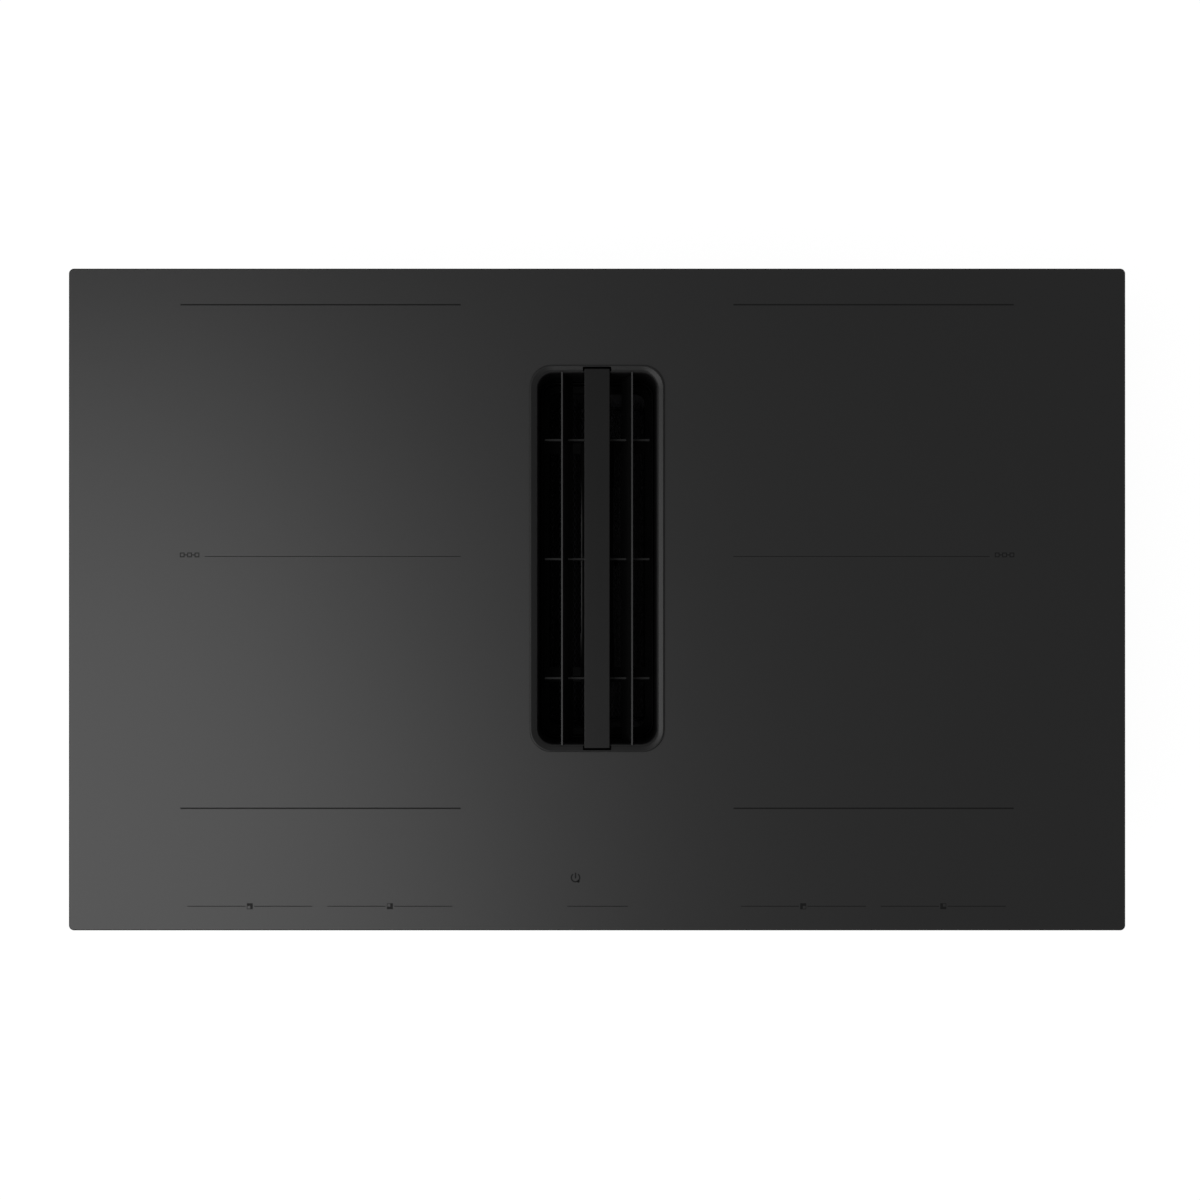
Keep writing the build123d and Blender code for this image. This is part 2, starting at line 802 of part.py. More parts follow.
z_board_top = z_board + board_t
for side, name in ((-1, "left"), (1, "right")):
    with BuildPart() as power_board:
        with BuildSketch(at(z_board, side * board_far, board_back)):
            Rectangle(board_x, board_y)
        extrude(amount=board_t)
        # capacitors, a choke and a relay block on the board
        with BuildSketch(at(z_board_top, side * (board_far - capacitor_row), board_back)):
            with GridLocations(0, part_pitch, 1, 3):
                dot(capacitor_r)
        extrude(amount=capacitor_h)
        with BuildSketch(at(z_board_top, side * (board_far - part_row), board_back)):
            with Locations((0, part_pitch)):
                dot(choke_r)
                RegularPolygon(choke_bore_r, small_sides, mode=Mode.SUBTRACT)
            with Locations((0, -part_pitch)):
                Rectangle(relay_x, relay_y)
        extrude(amount=choke_h)
    save(power_board, f"power_board_{name}")

    with BuildPart() as heatsink:
        # extruded comb profile that lies along the board
        with BuildSketch(upright(board_back)):
            with Locations((side * (board_far + heatsink_shift), z_board_top)):
                Rectangle(heatsink_x, heatsink_base, align=(Align.CENTER, Align.MIN))
                with Locations((0, heatsink_base + fin_h / 2)):
                    with GridLocations((heatsink_x - fin_t) / (fins - 1), 0, fins, 1):
                        Rectangle(fin_t, fin_h)
        extrude(amount=heatsink_y / 2, both=True)
    save(heatsink, f"heatsink_{name}")

    with BuildPart() as cooling_fan_frame:
        with BuildSketch(at(z_pan_inside, side * cooler_far, cooler_back)):
            RectangleRounded(cooler, cooler, cooler / 16)
            Circle(cooler_hole_r, mode=Mode.SUBTRACT)
        extrude(amount=cooler_t)
        # four spokes that hold the hub, and the pin that the rotor turns on
        with BuildSketch(at(z_pan_inside, side * cooler_far, cooler_back)):
            dot(cooler_hub_r)
            with PolarLocations(cooler_hole_r / 2, 4, start_angle=45):
                Rectangle(cooler_hole_r, cooler_spoke_w)
        extrude(amount=cooler_spoke_t)
        with BuildSketch(at(z_pan_inside, side * cooler_far, cooler_back)):
            Circle(cooler_pin_r)
        extrude(amount=cooler_pin_l)
    save(cooling_fan_frame, f"cooling_fan_frame_{name}")

    with BuildPart() as cooling_fan_rotor:
        z_rotor_low = z_pan_inside + cooler_spoke_t + cooler_run
        blade_span = cooler_hole_r - cooler_hub_r - cooler_tip_gap
        with BuildSketch(at(z_rotor_low, side * cooler_far, cooler_back)):
            RegularPolygon(cooler_hub_r, 2 * cooler_blades)
        extrude(amount=cooler_rotor_h)
        blade_row = at(z_rotor_low + cooler_rotor_h / 2, side * cooler_far, cooler_back)
        with Locations(blade_row):
            with PolarLocations(cooler_hub_r + blade_span / 2 - cooler_blade_t / 2, cooler_blades):
                Box(
                    blade_span + cooler_blade_t,
                    cooler_rotor_h,
                    cooler_blade_t,
                    rotation=(cooler_pitch, 0, 0),
                )
        with BuildSketch(at(z_rotor_low, side * cooler_far, cooler_back)):
            Circle(cooler_pin_r + pin_gap)
        extrude(amount=cooler_pin_l, mode=Mode.SUBTRACT)
    save(cooling_fan_rotor, f"cooling_fan_rotor_{name}")

# ------------------------------------------------------------------ touch controls
touch_y = -inner_y + touch_w / 2
z_touch = seal_t - touch_h
z_touch_board = seal_t - spring_h - touch_board_t
board_gap = 0.2
with BuildPart() as touch_housing:
    with BuildSketch(at(z_touch, 0, touch_y)):
        Rectangle(touch_x, touch_w)
    extrude(amount=touch_h)
    with BuildSketch(at(z_touch_board, 0, touch_y)):
        Rectangle(touch_x - 2 * touch_wall, touch_w - 2 * touch_wall)
    extrude(amount=seal_t - z_touch_board, mode=Mode.SUBTRACT)
    with BuildSketch(at(z_touch + touch_wall, 0, touch_y)):
        Rectangle(touch_x - 4 * touch_wall, touch_w - 4 * touch_wall)
    extrude(amount=z_touch_board - z_touch - touch_wall, mode=Mode.SUBTRACT)
    # legs down to the floor of the pan
    with BuildSketch(at(z_pan_inside, 0, touch_y)):
        with GridLocations(touch_x / 3 - touch_wall * 2, 0, 4, 1):
            Rectangle(touch_wall * 4, touch_w / 2)
    extrude(amount=z_touch - z_pan_inside)
save(touch_housing, "touch_housing")

with BuildPart() as touch_board:
    with BuildSketch(at(z_touch_board, 0, touch_y)):
        Rectangle(touch_x - 2 * (touch_wall + board_gap), touch_w - 2 * (touch_wall + board_gap))
    extrude(amount=touch_board_t)
save(touch_board, "touch_board")

with BuildPart() as touch_springs:
    with BuildSketch(at(z_touch_board + touch_board_t, 0, touch_y)):
        with GridLocations(spring_pitch, 0, springs, 1):
            dot(spring_r, 6)
    extrude(amount=spring_h)
save(touch_springs, "touch_springs")

# ------------------------------------------------------------------ mains inlet
terminal_back = pan_y / 2 - gland_l / 2
terminal_mid = terminal_back - terminal_y / 2
z_gland = z_pan - terminal_h / 2
with BuildPart() as terminal_box:
    with BuildSketch(at(z_pan - terminal_h, terminal_far, terminal_mid)):
        Rectangle(terminal_x, terminal_y)
        Rectangle(
            terminal_x - 2 * terminal_wall, terminal_y - 2 * terminal_wall, mode=Mode.SUBTRACT
        )
    extrude(amount=terminal_h)
    with BuildSketch(upright(terminal_back)):
        with Locations((terminal_far, z_gland)):
            Circle(gland_r + gland_wall)
    extrude(amount=terminal_wall, mode=Mode.SUBTRACT)
save(terminal_box, "terminal_box")

with BuildPart() as terminal_cover:
    z_cover = z_pan - terminal_h
    with BuildSketch(at(z_cover, terminal_far, terminal_mid)):
        Rectangle(terminal_x, terminal_y)
    extrude(amount=-terminal_wall)
    chamfer(terminal_cover.faces().sort_by(Axis.Z)[0].edges(), length=lid_chamfer)
    with BuildSketch(at(z_cover, terminal_far, terminal_mid)):
        lid_gap = terminal_wall + board_gap
        lid = (terminal_x - 2 * lid_gap, terminal_y - 2 * lid_gap)
        Rectangle(*lid)
        Rectangle(lid[0] - 2 * terminal_wall, lid[1] - 2 * terminal_wall, mode=Mode.SUBTRACT)
    extrude(amount=terminal_wall)
save(terminal_cover, "terminal_cover")

with BuildPart() as terminal_block:
    # strip of pole chambers with two screw wells each
    with BuildSketch(at(z_pan, terminal_far, terminal_mid - pole_setback)):
        Rectangle(pole_w * poles, pole_d)
    extrude(amount=-pole_h)
    with BuildSketch(at(z_pan - pole_h, terminal_far, terminal_mid - pole_setback)):
        with GridLocations(pole_w, pole_screw_pitch, poles, 2):
            dot(pole_screw_r, 8)
    extrude(amount=pole_screw_deep, mode=Mode.SUBTRACT)
save(terminal_block, "terminal_block")

with BuildPart() as mains_gland:
    with BuildSketch(upright(terminal_back + gland_l / 2)):
        with Locations((terminal_far, z_gland)):
            Circle(gland_r + gland_wall - board_gap / 2)
    extrude(amount=gland_l)
    with BuildSketch(upright(terminal_back + gland_l / 2)):
        with Locations((terminal_far, z_gland)):
            Circle(gland_flange_r)
    extrude(amount=gland_l / 2)
    with BuildSketch(upright(terminal_back + gland_l / 2)):
        with Locations((terminal_far, z_gland)):
            Circle(gland_r)
    extrude(amount=gland_l, mode=Mode.SUBTRACT)
save(mains_gland, "mains_gland")

# ------------------------------------------------------------------ clamping brackets
bracket_foot = worktop_t + bracket_down
with BuildPart() as clamp_brackets:
    with BuildSketch(upright(bracket_pitch / 2)):
        with BuildLine():
            Polyline(
                (wall_x, -worktop_t),
                (wall_x + bracket_out, -worktop_t),
                (wall_x + bracket_out, -worktop_t - bracket_t),
                (wall_x + bracket_t, -worktop_t - bracket_t),
                (wall_x + bracket_t, -bracket_foot),
                (wall_x, -bracket_foot),
                close=True,
            )
        make_face()
    extrude(amount=bracket_w / 2, both=True)
    with BuildSketch(at(-worktop_t, wall_x + bracket_hole_out, bracket_pitch / 2)):
        Circle(bracket_hole_r)
    extrude(amount=-bracket_t, mode=Mode.SUBTRACT)
    mirror(about=Plane.XZ)
    with BuildSketch(case_wall(1)):
        bracket_dots(bracket_screw_r + screw_slack)
    extrude(amount=bracket_t, mode=Mode.SUBTRACT)
    mirror(about=Plane.YZ)
save(clamp_brackets, "clamp_brackets")

with BuildPart() as bracket_screws:
    # hexagon heads outside the brackets, shanks through the wall of the pan
    with BuildSketch(case_wall(1).offset(bracket_t)):
        bracket_dots(bracket_head_r, 6)
    extrude(amount=bracket_head_t)
    with BuildSketch(case_wall(1).offset(bracket_t)):
        bracket_dots(bracket_screw_r)
    extrude(amount=-bracket_screw_l)
    mirror(about=Plane.YZ)
save(bracket_screws, "bracket_screws")

# ------------------------------------------------------------------ duct housing
housing_out = (housing_x, housing_y, housing_corner)
housing_in = (
    housing_x - 2 * housing_wall,
    housing_y - 2 * housing_wall,
    housing_corner - housing_wall,
)
flange_out = (
    housing_x + 2 * joint_flange_w,
    housing_y + 2 * joint_flange_w,
    housing_corner + joint_flange_w,
)
flange_mid_x = housing_x + joint_flange_w
flange_mid_y = housing_y + joint_flange_w
screw_rows = (
    GridLocations(flange_mid_x, housing_y / screws_along, 2, screws_along),
    GridLocations(housing_x / screws_across, flange_mid_y, screws_across, 2),
)


def housing(z: float) -> Plane:
    """Horizontal plane centred on the duct housing."""
    return at(z, *housing_mid)


with BuildPart() as duct_housing_upper:
    with BuildSketch(housing(z_split)):
        RectangleRounded(*housing_out)
    extrude(amount=housing_h)
    with BuildSketch(housing(z_split)):
        RectangleRounded(*flange_out)
    extrude(amount=joint_flange_t)
    # stiffening ribs up the side walls and the front wall
    with BuildSketch(housing(z_split)):
        with GridLocations(housing_x + wall_rib_h, housing_y / 6, 2, 5):
            Rectangle(wall_rib_h, wall_rib_t)
        with Locations((0, -(housing_y + wall_rib_h) / 2)):
            with GridLocations(housing_x / 7, 0, 6, 1):
                Rectangle(wall_rib_t, wall_rib_h)
    extrude(amount=housing_h)
    # mouth that backs the spigot's flange past the rounded corner
    with BuildSketch(upright(housing_back_y)):
        with Locations((fan_x, z_spigot)):
            Rectangle(duct_w + 2 * spigot_flange, duct_h + 2 * spigot_flange)
    extrude(amount=mouth_depth)
    with BuildSketch(housing(z_split)):
        RectangleRounded(*housing_in)
    extrude(amount=housing_h - housing_wall, mode=Mode.SUBTRACT)
    with BuildSketch(intake(z_lid)):
        RectangleRounded(seal_hole_x, seal_hole_y, seal_hole_corner)
    extrude(amount=housing_wall, mode=Mode.SUBTRACT)
    with BuildSketch(upright(housing_back_y)):
        with Locations((fan_x, z_spigot)):
            Rectangle(duct_w - 2 * duct_wall, duct_h - 2 * duct_wall)
    extrude(amount=mouth_depth, mode=Mode.SUBTRACT)
    with BuildSketch(housing(z_split)):
        for row in screw_rows:
            with row:
                dot(screw_r + screw_slack)
    extrude(amount=joint_flange_t, mode=Mode.SUBTRACT)
save(duct_housing_upper, "duct_housing_upper")

# hollow of the lower tub
with BuildPart() as tub_space:
    with BuildSketch(housing(z_split)):
        RectangleRounded(*housing_in)
    extrude(amount=-tub_h)
    chamfer(tub_space.faces().sort_by(Axis.Z)[0].edges(), length=tub_bevel - housing_wall / 2)

z_sole = z_floor - housing_wall
with BuildPart() as duct_housing_lower:
    with BuildSketch(housing(z_split)):
        RectangleRounded(*housing_out)
    extrude(amount=-(tub_h + housing_wall))
    chamfer(duct_housing_lower.faces().sort_by(Axis.Z)[0].edges(), length=tub_bevel)
    with BuildSketch(housing(z_split)):
        RectangleRounded(*flange_out)
    extrude(amount=-joint_flange_t)
    add(tub_space.part, mode=Mode.SUBTRACT)
    # crossed ribs under the sole
    sole_x = housing_x - 2 * housing_corner
    sole_y = housing_y - 2 * housing_corner
    with BuildSketch(housing(z_sole)):
        with GridLocations(sole_x / 5, 0, 6, 1):
            Rectangle(sole_rib_w, sole_y)
        with GridLocations(0, sole_y / 4, 1, 5):
            Rectangle(sole_x + sole_rib_w, sole_rib_w)
    extrude(amount=-sole_rib_h)
    # posts that carry the scroll
    scroll_span_x = housing_right_x - housing_wall - partition_x
    scroll_span_y = housing_y - 2 * housing_wall
    with BuildSketch(at(z_floor, partition_x + scroll_span_x / 2, housing_mid[1])):
        with GridLocations(scroll_span_x - 4 * post_r, scroll_span_y - 6 * post_r, 2, 2):
            dot(post_r)
    extrude(amount=tub_h)
    with BuildSketch(housing(z_split)):
        for row in screw_rows:
            with row:
                dot(screw_r + screw_slack)
    extrude(amount=-joint_flange_t, mode=Mode.SUBTRACT)
save(duct_housing_lower, "duct_housing_lower")

with BuildPart() as housing_screws:
    with BuildSketch(housing(z_split + joint_flange_t)):
        for row in screw_rows:
            with row:
                dot(screw_r)
    extrude(amount=-2 * joint_flange_t)
    with BuildSketch(housing(z_split - joint_flange_t)):
        for row in screw_rows:
            with row:
                dot(screw_head_r, 6)
    extrude(amount=-screw_head_t)
save(housing_screws, "housing_screws")

with BuildPart() as outlet_spigot:
    flange = (duct_w + 2 * spigot_flange, duct_h + 2 * spigot_flange, duct_corner + spigot_flange)
    with BuildSketch(upright(housing_back_y + spigot_flange)):
        with Locations((fan_x, z_spigot)):
            RectangleRounded(*flange)
    extrude(amount=spigot_flange)
    with BuildSketch(upright(housing_back_y + spigot_flange + spigot_l)):
        with Locations((fan_x, z_spigot)):
            RectangleRounded(duct_w, duct_h, duct_corner)
    extrude(amount=spigot_l)
    with BuildSketch(upright(housing_back_y + spigot_flange + spigot_l)):
        with Locations((fan_x, z_spigot)):
            RectangleRounded(duct_w - 2 * duct_wall, duct_h - 2 * duct_wall, duct_corner - duct_wall)
    extrude(amount=spigot_l + spigot_flange, mode=Mode.SUBTRACT)
save(outlet_spigot, "outlet_spigot")

# ------------------------------------------------------------------ scroll round the impeller
tongue_r = impeller_r + tongue_gap
spiral_end = 360 - tongue_angle


def polar(radius: float, angle: float) -> tuple:
    """Point at a radius and an angle from +X round the fan's axis."""
    return (radius * cos(radians(angle)), radius * sin(radians(angle)))


def spiral(angle: float) -> tuple:
    """Point of the scroll wall at an angle from +X round the fan's axis."""
    return polar(tongue_r + scroll_growth * (angle - tongue_angle) / spiral_end, angle)


scroll_left = partition_x - fan_x
scroll_back = housing_back_y - housing_wall - scroll_slack - fan_y
scroll_front = housing_front_y + housing_wall + scroll_slack - fan_y
scroll_right = housing_right_x - housing_wall - scroll_slack - fan_x
with BuildPart() as fan_scroll:
    with BuildSketch(at(z_split, fan_x, fan_y)):
        with BuildLine():
            Polyline(
                (scroll_left, scroll_front),
                (scroll_right, scroll_front),
                (scroll_right, scroll_back),
                (scroll_left, scroll_back),
                close=True,
            )
        make_face()
        fillet(vertices().group_by(Axis.X)[-1], radius=housing_corner - housing_wall)
        Circle(eye_r, mode=Mode.SUBTRACT)
    extrude(amount=scroll_floor)
    # bell mouth that leads the air up into the impeller
    with BuildSketch(at(z_scroll, fan_x, fan_y)):
        Circle(eye_r + scroll_wall)
        Circle(eye_r, mode=Mode.SUBTRACT)
    extrude(amount=bell_h)
    # spiral wall, the diffuser behind its tongue and the wall towards the throat
    with BuildSketch(at(z_scroll, fan_x, fan_y)):
        with BuildLine():
            span = spiral_end / 4
            wall = ThreePointArc(*(spiral(tongue_angle + k * span / 2) for k in range(3)))
            for k in range(2, 5):
                wall = TangentArc(wall @ 1, spiral(tongue_angle + k * span), tangent=wall % 1)
        trace(line_width=scroll_wall)
        with BuildLine():
            ThreePointArc(
                spiral(tongue_angle),
                (scroll_left + duct_w / 3, scroll_back * 2 / 3),
                (scroll_left + scroll_wall, scroll_back - scroll_wall),
            )
        trace(line_width=scroll_wall)
        with BuildLine():
            Line(spiral(360), (spiral(360)[0], scroll_back - housing_corner))
        trace(line_width=scroll_wall)
        with Locations((scroll_left + scroll_wall / 2, (scroll_front + scroll_back) / 2)):
            Rectangle(scroll_wall, scroll_back - scroll_front)
    extrude(amount=z_lid - z_scroll)
save(fan_scroll, "fan_scroll")

# ------------------------------------------------------------------ impeller and motor
with BuildPart() as impeller:
    # forward-curved blades between the backplate and the shroud ring
    with BuildSketch(at(z_impeller, fan_x, fan_y)):
        for k in range(blades):
            foot_angle = 360 / blades * k
            depth = impeller_r - blade_in_r - blade_t
            with BuildLine():
                Polyline(
                    [
                        polar(
                            blade_in_r + blade_t / 2 + depth * step / 3,
                            foot_angle + blade_sweep * (step / 3) ** 2,
                        )
                        for step in range(4)
                    ]
                )
            trace(line_width=blade_t)
    extrude(amount=blade_h)
    with BuildSketch(at(z_impeller, fan_x, fan_y)):
        Circle(impeller_r)
        Circle(blade_in_r, mode=Mode.SUBTRACT)
    extrude(amount=shroud_t)
    with BuildSketch(at(z_backplate, fan_x, fan_y)):
        Circle(impeller_r)
    extrude(amount=backplate_t)
    with BuildSketch(at(z_backplate, fan_x, fan_y)):
        Circle(hub_r)
    extrude(amount=-hub_h)
    with BuildSketch(at(z_backplate - hub_h, fan_x, fan_y)):
        Circle(shaft_r)
    extrude(amount=hub_h + backplate_t, mode=Mode.SUBTRACT)
save(impeller, "impeller")

z_rotor_brim = z_stator_top - stator_lift
with BuildPart() as rotor_cup:
    with BuildSketch(at(z_rotor, fan_x, fan_y)):
        Circle(rotor_r)
        Circle(shaft_r, mode=Mode.SUBTRACT)
    extrude(amount=rotor_t)
    with BuildSketch(at(z_rotor, fan_x, fan_y)):
        Circle(rotor_r)
        Circle(rotor_r - rotor_t, mode=Mode.SUBTRACT)
    extrude(amount=z_rotor_brim - z_rotor)
save(rotor_cup, "rotor_cup")

z_shaft_top = z_stator_top - shaft_gap
with BuildPart() as motor_shaft:
    with BuildSketch(at(z_backplate - hub_h, fan_x, fan_y)):
        Circle(shaft_r)
    extrude(amount=z_shaft_top - z_backplate + hub_h)
save(motor_shaft, "motor_shaft")

stator_h = z_stator_top - z_rotor - rotor_t - stator_lift
with BuildPart() as motor_stator:
    with BuildSketch(at(z_stator_top - stator_h, fan_x, fan_y)):
        Circle(rotor_r - rotor_t - rotor_gap)
        Circle(bearing_r, mode=Mode.SUBTRACT)
        with PolarLocations(rotor_r - rotor_t - rotor_gap, 12):
            Rectangle(rotor_r / 5, rotor_t, mode=Mode.SUBTRACT)
    extrude(amount=stator_h)
save(motor_stator, "motor_stator")

with BuildPart() as motor_bearings:
    bearing_levels = (z_stator_top - bearing_t, z_stator_top - stator_h)
    with BuildSketch(*(at(z, fan_x, fan_y) for z in bearing_levels)):
        Circle(bearing_r)
        Circle(shaft_r + shaft_gap, mode=Mode.SUBTRACT)
    extrude(amount=bearing_t)
save(motor_bearings, "motor_bearings")

with BuildPart() as motor_plate:
    with BuildSketch(at(z_stator_top, fan_x, fan_y)):
        Circle(motor_plate_r)
        with PolarLocations(motor_arm_r / 2, 3):
            Rectangle(motor_arm_r, 2 * bush_r)
        with PolarLocations(motor_arm_r, 3):
            dot(bush_r)
        with PolarLocations(motor_arm_r, 3):
            RegularPolygon(screw_r + screw_slack, small_sides, mode=Mode.SUBTRACT)
    extrude(amount=motor_plate_t)
save(motor_plate, "motor_plate")

with BuildPart() as motor_bushes:
    with BuildSketch(at(z_motor_plate, fan_x, fan_y)):
        with PolarLocations(motor_arm_r, 3):
            dot(bush_r)
            RegularPolygon(bush_hole_r, small_sides, mode=Mode.SUBTRACT)
    extrude(amount=bush_t)
save(motor_bushes, "motor_bushes")

with BuildPart() as motor_screws:
    with BuildSketch(at(z_stator_top, fan_x, fan_y)):
        with PolarLocations(motor_arm_r, 3):
            dot(screw_head_r, 6)
    extrude(amount=-screw_head_t)
    with BuildSketch(at(z_stator_top, fan_x, fan_y)):
        with PolarLocations(motor_arm_r, 3):
            dot(screw_r)
    extrude(amount=z_lid - z_stator_top)
save(motor_screws, "motor_screws")
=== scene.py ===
"""Looks of a built-in induction cooktop with a downdraft extractor.

Each class dresses one sub-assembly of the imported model: it gives the carried-over parts
their finishes and adds the pieces that only the looks need. All sizes are in metres, in
the model's own frame: +X right, +Y back, +Z up, origin on the worktop.
"""

import logging
import math
from dataclasses import dataclass
from enum import Enum
from typing import Any, Iterable, Mapping, Sequence

import bmesh
import bpy
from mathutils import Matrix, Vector


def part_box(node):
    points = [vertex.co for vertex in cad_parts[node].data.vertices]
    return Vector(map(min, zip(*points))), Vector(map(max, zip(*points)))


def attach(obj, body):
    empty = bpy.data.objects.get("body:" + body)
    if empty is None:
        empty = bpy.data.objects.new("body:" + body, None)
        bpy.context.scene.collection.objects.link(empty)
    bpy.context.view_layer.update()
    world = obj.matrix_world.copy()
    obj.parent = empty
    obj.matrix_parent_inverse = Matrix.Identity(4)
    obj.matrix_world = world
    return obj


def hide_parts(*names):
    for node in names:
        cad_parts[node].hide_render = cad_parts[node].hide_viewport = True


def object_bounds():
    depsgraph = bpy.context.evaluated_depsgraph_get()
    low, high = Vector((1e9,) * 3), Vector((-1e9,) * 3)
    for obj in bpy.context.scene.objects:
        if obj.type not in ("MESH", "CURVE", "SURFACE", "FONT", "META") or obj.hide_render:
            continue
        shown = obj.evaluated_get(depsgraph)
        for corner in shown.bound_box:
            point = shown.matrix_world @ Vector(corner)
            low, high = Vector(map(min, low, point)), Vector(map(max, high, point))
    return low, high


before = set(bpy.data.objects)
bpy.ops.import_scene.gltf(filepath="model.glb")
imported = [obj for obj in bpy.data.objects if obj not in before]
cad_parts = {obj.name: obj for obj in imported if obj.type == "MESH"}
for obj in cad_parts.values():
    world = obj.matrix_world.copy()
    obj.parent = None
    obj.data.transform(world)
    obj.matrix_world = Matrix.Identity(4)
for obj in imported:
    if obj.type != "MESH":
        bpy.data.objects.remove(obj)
CAD_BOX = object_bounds()

MM = 0.001
log = logging.getLogger("cooktop")

Colour = tuple[float, float, float]
Axes = tuple[float, float, float]
Point = tuple[float, float]
EVEN: Axes = (1.0, 1.0, 1.0)


class Body(Enum):
    """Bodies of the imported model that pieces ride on."""

    ROOT = "root"
    TRAY = "tray"
    FILTER = "filter"
    GRILLE = "grille"


class Side(Enum):
    """Left and right half of the cooktop, with the sign of their X."""

    LEFT = -1
    RIGHT = 1


class Quadrant(Enum):
    """Light quarter of each slider's pictogram from left to right, as the signs of its X and Y."""

    FRONT_LEFT = (-1, -1)
    BACK_LEFT = (-1, 1)
    FRONT_RIGHT = (1, -1)
    BACK_RIGHT = (1, 1)


# --------------------------------------------------------------------------- shader maths
class Value:
    """Output socket of a material, with arithmetic that adds Math nodes."""

    def __init__(self, shader: "Shader", socket: bpy.types.NodeSocket) -> None:
        """Wraps a socket of the shader's tree."""
        self.shader = shader
        self.socket = socket

    def _math(self, operation: str, first: "Value | float", second: "Value | float") -> "Value":
        """Adds one Math node and returns its output."""
        inputs = {0: first, 1: second}
        return self.shader.value("ShaderNodeMath", {"operation": operation}, inputs)

    def __add__(self, other: "Value | float") -> "Value":
        """Sum of two values."""
        return self._math("ADD", self, other)

    __radd__ = __add__

    def __sub__(self, other: "Value | float") -> "Value":
        """This value less the other."""
        return self._math("SUBTRACT", self, other)

    def __rsub__(self, other: float) -> "Value":
        """The number less this value."""
        return self._math("SUBTRACT", other, self)

    def __mul__(self, other: "Value | float") -> "Value":
        """Product of two values."""
        return self._math("MULTIPLY", self, other)

    __rmul__ = __mul__

    def __abs__(self) -> "Value":
        """Size of the value without its sign."""
        return self._math("ABSOLUTE", self, 0.0)

    def sine(self) -> "Value":
        """Sine of the value in radians."""
        return self._math("SINE", self, 0.0)

    def larger(self, other: "Value") -> "Value":
        """The larger of two values."""
        return self._math("MAXIMUM", self, other)

    def above(self, low: float, high: float) -> "Value":
        """Mask that rises smoothly from 0 at low to 1 at high.

        Args:
            low: value at which the mask leaves 0.
            high: value at which the mask reaches 1.

        Returns:
            The mask as a new value.
        """
        settings = {"interpolation_type": "SMOOTHSTEP"}
        inputs = {"Value": self, "From Min": low, "From Max": high}
        return self.shader.value("ShaderNodeMapRange", settings, inputs)


